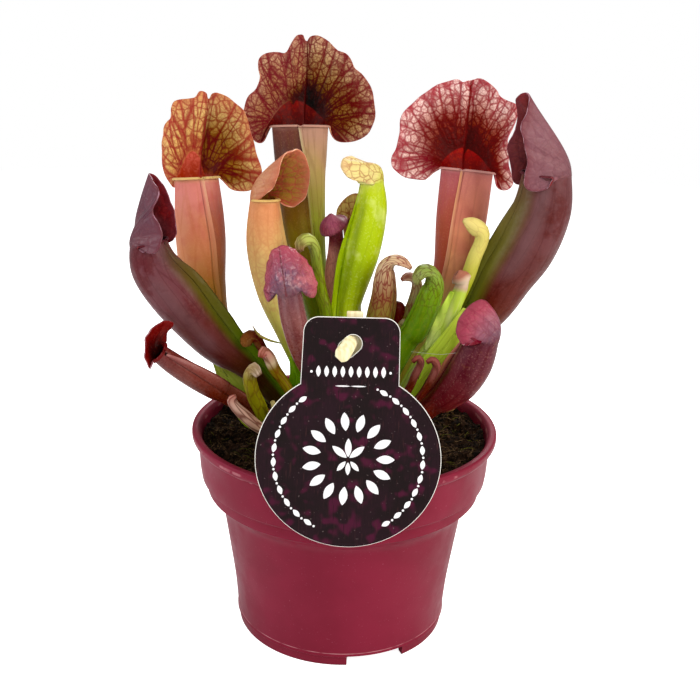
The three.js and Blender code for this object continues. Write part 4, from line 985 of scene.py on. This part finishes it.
              "-32.3 -11 113.8 1.2 0.8",
        look=dict(
            skin="0 #7fa01c, 0.5 #8f8a18, 0.8 #8a7418, 0.86 #e0c8a0, 0.94 #d89a88, 1 #b86a60",
            tubeNets="4.5 0.2 0.16 0.7 #7a3a1c 0.2 1.2")),
    "bud_pale_hook": dict(
        slot="leaf_green", grain=(64, 36), foot=(-14, -9, 1.6), face=0, wing=0.6,
        spine="-29 -12 87 2, -33 -13 95 2.7, -35.4 -15 102 2.5, -36.2 -16 108 2.3, "
              "-34.6 -17.5 111.8 2.5 1.4, -32.3 -18.3 109.2 1.4 0.8",
        look=dict(
            skin="0 #5f9a10, 0.4 #6fa010, 0.6 #8a8c14, 0.82 #8f8420, 0.9 #b09a68, 0.96 #d0b8a0, "
                 "1 #8a6050",
            tubeNets="5 0.3 0.15 0.6 #6a4a1c 0.4 1.2")),
    "bud_pink_low": dict(
        slot="leaf_russet", grain=(60, 32), foot=(-16, -13, 1.6), face=0,
        spine="-31 -18.5 87.5 2.2, -36.3 -21 93 2.3, -40.5 -23 98.3 2, -42 -24 101.6 1.6, "
              "-40.5 -24.3 103.3 0.8",
        look=dict(
            skin="0 #c0b060, 0.4 #d8bc8c, 0.7 #dcae94, 0.88 #e0b8a4, 1 #b87468",
            tubeNets="5 0.15 0.2 0.8 #6a2424 0.2 1.2")),
    "bud_green_tip": dict(
        slot="leaf_green", grain=(48, 28), foot=(-7, -11, 1.4), face=-90,
        spine="-20 -13 86 1.5, -25 -14.5 92 1.8, -27.5 -16.5 98.3 0.8",
        look=dict(skin="0 #8fa42c, 0.7 #a8b44c, 1 #c0b070")),
    "crook_brown_near": dict(
        slot="leaf_russet", grain=(60, 28), foot=(5, -11.5, 1.4), face=180,
        spine="22 -13.5 100 1.4, 26 -16 110 1.5, 27.8 -18 115.5 1.4, 26.5 -18.6 118 1.2, "
              "24.6 -19 116.3 0.7",
        look=crookLook),
    "crook_brown_far": dict(
        slot="leaf_russet", grain=(60, 28), foot=(10, -12.5, 1.4), face=180,
        spine="27 -14.5 99 1.4, 32 -17 109 1.5, 33.6 -20 115.3 1.5, 31.8 -20.6 118 1.3, 29.6 -21 117 0.7",
        look=crookLook),
    "leaf_lime_flat": dict(
        slot="leaf_lime", grain=(64, 36), foot=(16.5, -3, 1.5), face=-90, edgeWave=(0.7, 3),
        spine="27 -9 104 2.8 0.7, 32 -9.4 112 3.8 0.7, 37.6 -9.4 120 4 0.7, 42 -8.6 127.6 3.2 0.7, "
              "44.6 -7.6 134 1.2 0.5",
        look=dict(
            skin="0 #b4d830, 0.5 #bcdc3c, 0.85 #c8e048, 1 #d0e05c",
            tubeNets="3 0.1 0.12 0.4 #8fae24 0 1.2")),
    "lime_fold": dict(
        part="leaf_lime_flat", slot="leaf_lime", grain=(60, 30), face=-90, edgeWave=(1, 2.5),
        spine="29.9 -7 116.8 0.3 0.2, 32 -6.6 120.5 1.8 0.4, 35.2 -6 126.4 3.1 0.45, "
              "38.2 -5.6 134 2.8 0.45, 40 -5 139.6 1.4 0.4",
        look=dict(
            skin="0 #dcec90, 0.4 #cce068, 1 #b8d848",
            tubeNets="3 0.1 0.12 0.3 #98b42c 0 1.2")),
    "lime_blade_left": dict(
        part="pitcher_tall_left", slot="leaf_gold", grain=(60, 30), face=-80, edgeWave=(0.6, 2),
        spine="-14 8 76 2 1, -26 8 78 3.4 0.8, -36 8 80.5 4.6 0.7, -40 8 87.3 6 0.7, "
              "-44.7 8 94.8 5.4 0.7, -49.4 8 101.6 2.8 0.6, -53.2 8 106.4 0.4 0.3",
        look=dict(
            skin="0 #7a9a1c, 0.4 #8aa424, 0.75 #a4b044, 1 #98a03c",
            tubeNets="2.4 0.1 0.12 0.4 #6f8a1c 0 1.2")),
    "lime_blade_centre": dict(
        part="pitcher_gold", slot="leaf_gold", grain=(60, 30), face=-90, edgeWave=(0.5, 2),
        spine="-8 2 78 2 1, -15 -2 86 4 0.7, -17.9 -3 93.7 4.2 0.7, -18.9 -3 99.5 3.8 0.6, "
              "-19.6 -3 105.2 2.2 0.5, -21.6 -3 111.8 0.4 0.3",
        look=dict(
            skin="0 #4f8a08, 0.5 #6cac10, 1 #8cc024",
            tubeNets="2.4 0.1 0.12 0.4 #4f8a0c 0 1.2")),
    "dry_straw": dict(
        part="bud_dry_cap", slot="leaf_dry", grain=(60, 10), face=180,
        spine="-35.6 -8 125.6 0.12, -34.3 -8 123.4 0.3, -32.8 -8 121.7 0.42, -29.4 -8.6 120.2 0.42, "
              "-24.7 -10 119.5 0.2",
        look=dict(
            skin="0 #a08848, 0.5 #a89850, 1 #8a9440",
            rough=0.6)),
    "dark_shoot": dict(
        part="bud_slim_right", slot="leaf_oxblood", grain=(30, 12), face=180,
        spine="16 3 112 1.2, 19 2.4 124 1.8, 20.4 2 129 2.3, 19.6 2 132 2, 18.8 2 133.4 0.6",
        look=dict(skin="0 #5a4a14, 0.5 #5a2014, 0.7 #6a1812, 1 #5a1410")),
    "cream_tip": dict(
        part="bud_slim_right", slot="leaf_olive", grain=(30, 12), face=180,
        spine="19 1 118 0.8, 20.6 0.6 124.6 1.1, 22.4 0.2 126.4 1.2 1, 24.2 0 125.8 0.5",
        look=dict(skin="0 #8a8a2c, 0.6 #b0a060, 0.85 #e0c8a0, 1 #d8b090")),
    "cobweb_thread": dict(
        part="pitcher_low_right", slot="leaf_dry", grain=(40, 4), face=180,
        spine="24.2 -16 119.4 0.05, 30 -16.2 118.9 0.06, 36 -16.6 118.8 0.06, 42.6 -18 120.4 0.05",
        look=dict(skin="0 #d0d8b8, 1 #e8e8dc")),
    "bark_chip": dict(
        part="soil", slot="peat", grain=(30, 14), face=0, wobble=0.2,
        spine="42.6 26.6 78.6 0.5, 43.4 27 79.2 1.3 1.1, 45 27.8 79.8 1.5 1.2, 46.6 28.2 80.2 0.6",
        look=dict(
            skin="0 #8a6a3c, 0.5 #c8a470, 1 #b08850",
            rough=0.7)),
}
for name, leaf in leaves.items():
    growLeaf(name, leaf)
print("leaves grown")


def moved(x, y, z):
    return Matrix.Translation((x * mm, y * mm, z * mm))


def scaled(x, y, z):
    return Matrix.Diagonal((x * mm, y * mm, z * mm, 1))


def turned(angle, axis="Z"):
    return Matrix.Rotation(math.radians(angle), 4, axis)


def onCircle(angle, radius=1, x=0, y=0):
    return x + radius * math.cos(math.radians(angle)), y + radius * math.sin(math.radians(angle))


# pot: its profile's corners are radius, height and fillet, up the outside from the foot ring and back down
potSizes = {
    "profile": "38.6 4.2 0.3, 38.6 0 0.5, 42 0 0.7, 42.15 4 0.2, 42.9 4.3 0.3, 42.6 5.6 0.4, 43.5 18 6, "
               "46 36 9, 48.6 53.4 3, 52.2 57.2 0.7, 54.3 58.7 0.2, 54.4 60.6 1.5, 54.4 63 0.7, "
               "56.4 64.2 0.2, 57 68.6 3, 57.5 79.4 0.5, 59.3 80 0.55, 60 81.2 0.8, 60 83.7 1, "
               "57.4 83.7 0.9, 56.3 82 1.2, 55.5 68.8 4, 53.2 61.2 1.8, 51.2 59.1 2.4, 47.2 53.6 4, "
               "44.6 36 9, 42.1 18 6, 41.2 6 1, 0 6 0, 0 4.2 0",
    "slots": 3, "slotFrom": -70, "slotPlace": (39, 0, 0.5), "slotSize": (12, 23, 8),
    "drains": 4, "drainFrom": -25, "drainRadius": 4.5, "drainReach": 33,
    "wornHighlightFrom": 57.1,                         # the rim's lower edge is painted lighter outside this radius: a worn flash line, partly a painted highlight
}


def filleted(profile, steps=5):
    # a closed profile with its corners rounded
    made = []
    for k, (x, z, fillet) in enumerate(profile):
        before, here, after = (Vector(profile[(k + j) % len(profile)][:2]) for j in (-1, 0, 1))
        toBefore, toAfter = before - here, after - here
        reach = min(fillet, 0.48 * toBefore.length, 0.48 * toAfter.length)
        if reach < 0.05:
            made.append((x, z))
            continue
        first, last = here + toBefore.normalized() * reach, here + toAfter.normalized() * reach
        for w in (j / steps for j in range(steps + 1)):
            made.append(tuple((1 - w) ** 2 * first + 2 * w * (1 - w) * here + w * w * last))
    return made


def spinProfile(name, profile, steps):
    # a closed profile turned once round Z
    obj = addShape(name, "circle", vertices=len(profile))
    for vertex, (r, z) in zip(obj.data.vertices, profile):
        vertex.co = (r * mm, 0, z * mm)
    editAll(obj, (bpy.ops.mesh.spin, {"steps": steps, "angle": 2 * math.pi, "axis": (0, 0, 1),
                                      "center": (0, 0, 0)}))
    editAll(obj, (bpy.ops.mesh.remove_doubles, {"threshold": 1e-5}), facesOut)
    return obj


def cutAway(obj, cutter):
    finishWith(obj, "BOOLEAN", operation="DIFFERENCE", solver="EXACT", object=cutter)
    bpy.data.objects.remove(cutter)


def potPlastic():
    material, tree, shader = newMaterial("pot_raspberry", {
        "Roughness": 0.4, "Specular IOR Level": 0.12, "Specular Tint": (1, 0.62, 0.68, 1)})
    body = bodyOf(tree)
    x, y, z = apart(body)
    radius = vectorMath("LENGTH", wire(tree, "CombineXYZ", {0: x, 1: y, 2: 0.0}), take="Value")
    color = mixColor(mottleOf(body, 30.0, 0.35, 0.65), "#771a2e", "#801e34")
    color = mixColor(mottleOf(body, 1500.0, 0.72, 0.76, 1.0) * 0.35, color, "#a86070")
    # a pale line under the rim's roll: partly its worn flash line, partly a painted highlight
    wornLineAndHighlight = stripe(z, 78.9, 79.4, 0.3) * (radius > potSizes["wornHighlightFrom"] * mm) * mottleOf(body, 240.0)
    # painted highlight: a broken pale band round the rim's roll where it faces the light
    rimRollHighlight = stripe(z, 81.6, 82.2, 0.4) * mottleOf(body, 170.0, 0.5, 0.64)
    seam = stripe(z, 5.5, 5.62, 0.15) * mottleOf(body, 120.0, 0.3, 0.6)
    for mask, share, code in ((wornLineAndHighlight, 0.45, "#e8b0b0"), (rimRollHighlight, 0.3, "#e0a0a4"), (seam, 0.5, "#e0a8ac")):
        color = mixColor(mask * share, color, code)
    plug(shader["Base Color"], color)
    plug(shader["Normal"], bumpOf(cloud(body, 700.0), 0.00004, 0.6))
    plug(shader["Roughness"], ease(mottleOf(body, 90.0, 0.3, 0.7), 0.0, 1.0, 0.34, 0.46))
    return material


def stripe(height, low, high, soft):
    return within(height, (low - soft) * mm, low * mm, high * mm, (high + soft) * mm)


pot = spinProfile("pot_body", filleted(rowsOf(potSizes["profile"])), 192)
for k in range(potSizes["slots"]):
    slot = addShape("foot_slot", "cube", size=1)
    turn = turned(potSizes["slotFrom"] + 90 * k)
    slot.data.transform(turn @ moved(*potSizes["slotPlace"]) @ scaled(*potSizes["slotSize"]))
    cutAway(pot, slot)
for k in range(potSizes["drains"]):
    drain = addShape("drain", "cylinder", vertices=48, radius=potSizes["drainRadius"] * mm, depth=20 * mm)
    drain.data.transform(moved(*onCircle(potSizes["drainFrom"] + 90 * k, potSizes["drainReach"]), 5))
    cutAway(pot, drain)
select(pot)
bpy.ops.object.shade_smooth_by_angle(angle=math.radians(38))
dress(pot, "pot", "pot_plastic", potPlastic())
print("pot turned")

# peat: a bed that fills the pot, with crumbs, fibres and moss on it
peat = {"radius": 55.5, "rings": 150, "round": 400, "level": 76.5, "relief": 1.9,
        "wall": "55.4 74, 55.2 70, 53 62, 50.9 59, 47 53.5, 44.4 36, 41.9 18, 41 6.3, 0 6.3"}


def groundAt(x, y):
    r = min(1, math.hypot(x, y) / 56)
    swell = 0.8 * math.sin(0.21 * x + 1.3) * math.cos(0.17 * y) + 0.5 * math.sin(0.43 * y + 0.31 * x)
    swell += 1.2 * math.cos(r * math.pi) + 4.2 * r**6
    return peat["level"] + swell + peat["relief"] * noise.fractal(Vector((x / 5, y / 5, 3.1)), 0.75, 2.1, 5)


def peatSkin(name, dark, light, fleck):
    material, tree, shader = newMaterial(name, {
        "Roughness": 0.9, "Specular IOR Level": 0.06, "Specular Tint": (1, 0.8, 0.6, 1)})
    body = bodyOf(tree)
    color = mixColor(mottleOf(body, 420.0, 0.4, 0.62, 4.0), dark, light)
    plug(shader["Base Color"], mixColor(mottleOf(body, 1100.0, 0.58, 0.68) * 0.7, color, fleck))
    crumbs = wire(tree, "TexVoronoi", {"Vector": body, "Scale": 700.0}, "Distance")
    plug(shader["Normal"], bumpOf(cloud(body, 900.0, 4.0), 0.0004, 1.0, bumpOf(crumbs, -0.0007)))
    return material


ringAt = np.linspace(0, peat["radius"], peat["rings"])[:, None]
turnAt = np.linspace(0, 2 * np.pi, peat["round"] + 1)
across, along = np.cos(turnAt), np.sin(turnAt)
across[-1], along[-1] = across[0], along[0]
peatX, peatY = ringAt * across, ringAt * along
peatZ = np.array([[groundAt(x, y) for x, y in zip(*row)] for row in zip(peatX, peatY)])
peatSide = [np.stack([r * across, r * along, np.full(len(turnAt), z)], axis=1)
            for r, z in rowsOf(peat["wall"])]
soil = sheetFrom("peat_bed", np.concatenate([np.stack([peatX, peatY, peatZ], axis=2), peatSide]))
editAll(soil, joinDoubles, facesOut)
smooth(soil)
dress(soil, "soil", "peat", peatSkin("peat_dark", "#0a0503", "#26170e", "#54402a"))


def scattered(name, points, faces, places):
    # copies of a small shape as one mesh
    made = [place @ Vector(p) for place in places for p in points]
    joined = [tuple(k * len(points) + corner for corner in face)
              for k in range(len(places)) for face in faces]
    mesh = bpy.data.meshes.new(name)
    mesh.from_pydata(made, [], joined)
    obj = bpy.data.objects.new(name, mesh)
    bpy.context.scene.collection.objects.link(obj)
    return obj


def onSoil(draw, reach, lift):
    angle, r = draw.uniform(0, 2 * math.pi), reach * math.sqrt(draw.random())
    x, y = r * math.cos(angle), r * math.sin(angle)
    turn = Matrix.Rotation(draw.uniform(0, 6.3), 4, "Z")
    for axis, most in (("X", 0.6), ("Y", 0.4)):
        turn = turn @ Matrix.Rotation(draw.uniform(-most, most), 4, axis)
    return moved(x, y, groundAt(x, y) + lift) @ turn


seedShape = addShape("crumb_seed", "ico_sphere", subdivisions=1, radius=1)
crumbPoints = [tuple(v.co) for v in seedShape.data.vertices]
crumbFaces = [tuple(f.vertices) for f in seedShape.data.polygons]
bpy.data.objects.remove(seedShape)
draw = random.Random(11)
places = []
for k in range(2600):
    size = draw.uniform(0.3, 1.0) if k % 12 else draw.uniform(0.9, 1.7)
    places.append(onSoil(draw, 54.3, size * 0.25)
                  @ scaled(size, size * draw.uniform(0.5, 0.9), size * draw.uniform(0.4, 0.7)))
crumbs = scattered("peat_crumbs", crumbPoints, crumbFaces, places)
dress(crumbs, "soil", "peat", peatSkin("peat_crumb", "#180e09", "#3f2c1e", "#705838"))

# fibres and moss: four-sided strands, arched
strandPoints = [(x, r * cy + 0.5 * (x * x - 0.25), r * cz - 0.7 * x * x)
                for x, r in ((-0.5, 0.012), (-0.25, 0.03), (0, 0.034), (0.25, 0.03), (0.5, 0.012))
                for cy, cz in ((1, 0), (0, 1), (-1, 0), (0, -1))]
strandFaces = [(k + j, k + 4 + j, k + 4 + (j + 1) % 4, k + (j + 1) % 4)
               for k in range(0, 16, 4) for j in range(4)]
strandFaces += [(0, 1, 2, 3), (19, 18, 17, 16)]
for name, count, codes, seed in (("peat_fibres", 620, ("#3a2a1a", "#5c4830", "#8a7450"), 5),
                                 ("moss_bits", 260, ("#33330f", "#55511c", "#75702c"), 8)):
    draw = random.Random(seed)
    places = []
    for k in range(count):
        long = draw.uniform(2.0, 6.5)
        places.append(onSoil(draw, 53.5, 0.35 + 0.1 * long)
                      @ scaled(long, long * draw.uniform(0.5, 1.3), long * draw.uniform(0.6, 1)))
    dress(scattered(name, strandPoints, strandFaces, places), "soil", "peat", peatSkin(name, *codes))


# the rhizome: a low mound of old leaf bases
crown = {"middle": (0.5, 3, 72), "half": (25, 23, 9)}


def rhizomeSkin():
    material, tree, shader = newMaterial("rhizome_bark", {"Roughness": 0.75})
    body = bodyOf(tree)
    color = mixColor(mottleOf(body, 300.0, 0.35, 0.65), "#23150e", "#4a2c1c")
    plug(shader["Base Color"], mixColor(mottleOf(body, 220.0, 0.56, 0.68) * 0.6, color, "#5a5a24"))
    plug(shader["Normal"], bumpOf(cloud(body, 420.0, 4.0), 0.0008))
    return material


rhizome = addShape("rhizome_mound", "uv_sphere", segments=180, ring_count=90, radius=1)
for vertex in rhizome.data.vertices:
    at = vertex.co.copy()
    ridges = math.sin(14 * math.atan2(at.y, at.x) + 9 * at.z)
    lump = 1 + 0.05 * noise.fractal(at * 4, 0.9, 2.1, 4) + 0.03 * ridges
    vertex.co = (at * Vector(crown["half"]) * lump + Vector(crown["middle"])) * mm
smooth(rhizome)
dress(rhizome, "rhizome", "rhizome", rhizomeSkin())
print("peat and rhizome laid")

# tag: a disc with a tab, leaning back on the rim
tag = {"rim": (1.8, -60.45, 82.5), "lean": 20, "rise": 13.1, "discX": -0.3, "discY": -1.3, "wide": 32.0,
       "tall": 30.1, "tabWidth": 33.4, "tabTop": 47.4, "corner": 5.4, "card": 0.7}
tagHole = {"x": -0.6, "rise": 37.3, "radius": 3.1, "reach": 1.4, "turn": 42}
tagTurn = moved(*tag["rim"]) @ turned(90 - tag["lean"], "X") @ moved(0, tag["rise"], 0)


def arcPoints(x, y, radius, start, end, steps):
    return [onCircle(start + (end - start) * k / steps, radius, x, y) for k in range(steps + 1)]


def plate(name, points, thickness, place):
    # a flat outline made solid
    obj = addShape(name, "circle", vertices=len(points), fill_type="NGON")
    for vertex, (x, y) in zip(obj.data.vertices, points):
        vertex.co = (x * mm, y * mm, 0)
    thicken = {"TRANSFORM_OT_translate": {"value": (0, 0, thickness * mm)}}
    editAll(obj, facesOut, (bpy.ops.mesh.extrude_region_move, thicken))
    editAll(obj, facesOut)
    obj.data.transform(place)
    return obj


def tagOutline(inset):
    half, wide, tall = tag["tabWidth"] / 2 - inset, tag["wide"] - inset, tag["tall"] - inset
    joinAt = math.degrees(math.acos((half - tag["discX"]) / wide))
    ellipse = [onCircle(a) for a in np.linspace(180 - joinAt, 360 + joinAt, 140)]
    points = [(tag["discX"] + wide * x, tag["discY"] + tall * y) for x, y in ellipse]
    corner = tag["corner"]
    for side, start in ((1, 0), (-1, 90)):
        points += arcPoints(side * (tag["tabWidth"] / 2 - corner), tag["tabTop"] - corner, corner - inset,
                            start, start + 90, 12)
    return points


def tagLayer(name, inset, thickness, lift):
    # the whole card, or a print laid on it, with the peg's hole
    layer = plate(name, tagOutline(inset), thickness, moved(0, -0.4 * inset, lift))
    turn, around = tagHole["turn"], []
    for side, start in ((1, turn - 90), (-1, turn + 90)):
        end = onCircle(turn, side * tagHole["reach"], tagHole["x"], tagHole["rise"])
        around += arcPoints(*end, tagHole["radius"] + inset, start, start + 180, 16)
    cutAway(layer, plate("hole", around, 6, moved(0, 0, -3)))
    layer.data.transform(tagTurn)
    return layer


def stretched(body, scale, detail, turn=0.0):
    place = wire(body.tree, "Mapping", {"Vector": body, "Rotation": (0.0, turn, 0.0), "Scale": scale})
    return cloud(place, 1.0, detail)


def tagPrint():
    material, tree, shader = newMaterial("tag_print", {
        "Roughness": 0.42, "Specular IOR Level": 0.12, "Specular Tint": (1, 0.8, 0.85, 1)})
    body = bodyOf(tree)
    streaks = stretched(body, (1600.0, 300.0, 160.0), 2.0, 0.35)
    color = mixColor(mottleOf(body, 80.0, 0.35, 0.65), "#110808", "#1d0a12")
    color = mixColor(mottleOf(body, 190.0, 0.54, 0.7, 1.0) * 0.7, color, "#4c0a2c")
    color = mixColor(ease(streaks, 0.6, 0.76, 0.0, 0.5), color, "#3f2020")
    color = mixColor(ease(streaks, 0.42, 0.3, 0.0, 0.6), color, "#0e0707")
    color = mixColor(mottleOf(body, 1500.0, 0.8, 0.84, 0.0) * 0.4, color, "#7a6a68")
    plug(shader["Base Color"], color)
    return material


def plain(name, code, rough, specular):
    return newMaterial(name, {"Base Color": code, "Roughness": rough, "Specular IOR Level": specular})[0]


def hangTag(obj, material):
    dress(obj, "tag", "tag_card", material)


hangTag(tagLayer("tag_card", 0, tag["card"], 0), plain("card_white", "#f2efe8", 0.5, 0.3))
printed = tagPrint()
for name, lift in (("tag_front", tag["card"] - 0.01), ("tag_back", -0.03)):
    hangTag(tagLayer(name, 0.22, 0.04, lift), printed)

# its motif: a wreath of small leaves and dots, a rosette and a sprout
leafForm = [(0.5 * math.sin(math.pi * w) ** 0.8 * side, w)
            for side, ws in ((1, np.linspace(0, 1, 12)), (-1, np.linspace(1, 0, 12)[1:-1])) for w in ws]
dotForm = arcPoints(0, 0, 0.5, 0, 345, 23)
white = plain("print_white", "#f4f2f4", 0.45, 0.2)


def motif(name, form, marks):
    # each mark: where it starts, its width, its length and its turn from upright
    flat = [(x, y, z) for z in (0.0, 0.06) for x, y in form]
    n = len(form)
    faces = [tuple(range(n))[::-1], tuple(range(n, 2 * n))]
    faces += [(k, (k + 1) % n, n + (k + 1) % n, n + k) for k in range(n)]
    places = [tagTurn @ moved(x, y, tag["card"] + 0.02) @ turned(turn) @ scaled(wide, long, 1)
              for x, y, wide, long, turn in marks]
    obj = scattered(name, flat, faces, places)
    editAll(obj, facesOut)
    hangTag(obj, white)


def spoke(angle, radius, wide, long, lean=0):
    return (*onCircle(angle, radius, tag["discX"], tag["discY"]), wide, long, angle - 90 + lean)


wreath = [a for a in range(-62, 242, 11) if not 60 < a < 116]
leafMarks = [spoke(a, 25.6, 1.7, 3.3, 90) for a in wreath]
leafMarks += [spoke(a, 9.6, 2.9, 6.4) for a in range(0, 360, 24)]
leafMarks += [spoke(a, 0.6, 2.3, 6.4) for a in (90, 38, 142)]
leafMarks += [spoke(a, 1.2, 1.7, 4.4) for a in (228, 270, 312)]
leafMarks += [(x, 26.6, 1.6, 3.9, 0) for x in np.arange(-11.2, 11.3, 2.8)]
leafMarks += [(0, 23.6, 0.5, 5.4, turn) for turn in (90, -90)]
dotMarks = [spoke(a + 9.2, 25.8, 0.8, 0.8) for a in wreath]
dotMarks += [(x, 28.4, 0.9, 0.9, 0) for x in (-13.6, 13.6)]
motif("tag_leaf_marks", leafForm, leafMarks)
motif("tag_dot_marks", dotForm, dotMarks)

# stake: a flat stick, and a bent peg that goes through the tag's hole
stake = {"middle": (2.8, -38.1, 87.5), "size": (5.8, 1.6, 107), "round": 0.45,
         "peg": "2.8 -37.9 133 2.4 1.1, 1.6 -42 131.5 2.5 1.2, 0.3 -45 130 2.7 1.3, "
                "-1.5 -47.3 128 2.8 1.2, -2.7 -48 126.8 1.6 0.6"}


def wood():
    material, tree, shader = newMaterial("stake_wood", {"Roughness": 0.5})
    grain = stretched(bodyOf(tree), (900.0, 900.0, 40.0), 3.0)
    plug(shader["Base Color"], mixColor(ease(grain, 0.35, 0.7), "#f8eec4", "#e8d49c"))
    plug(shader["Normal"], bumpOf(grain, 0.00008, 0.8))
    return material


def pegGrid():
    # rings along the peg's bend, closed at both ends
    stations = rowsOf(stake["peg"])
    fine = through(stations, np.linspace(0, len(stations) - 1, 60))
    centre, (wide, thick) = fine[:, None, :3], fine[:, 3:].T[..., None, None]
    axis = unit(np.gradient(fine[:, :3], axis=0))
    front = unit(np.array((0.0, 1.0, 0.0)) - axis * axis[:, 1:2])
    turn = np.linspace(0, 2 * np.pi, 33)[:, None]
    rings = centre + wide * np.sin(turn) * np.cross(axis, front)[:, None]
    rings += thick * np.cos(turn) * front[:, None]
    rings[:, -1] = rings[:, 0]
    foot, tip = (np.broadcast_to(centre[k], rings[:1].shape) for k in (0, -1))
    return np.concatenate([foot, rings, tip])


stick = addShape("stake_stick", "cube", size=1)
stick.data.transform(moved(*stake["middle"]) @ scaled(*stake["size"]))
finishWith(stick, "BEVEL", width=stake["round"] * mm, segments=3)
peg = sheetFrom("stake_peg", pegGrid())
editAll(peg, joinDoubles, facesOut)
smooth(peg)
woodSkin = wood()
for piece in (stick, peg):
    dress(piece, "stake", "stake_wood", woodSkin)
print("tag and stake hung")
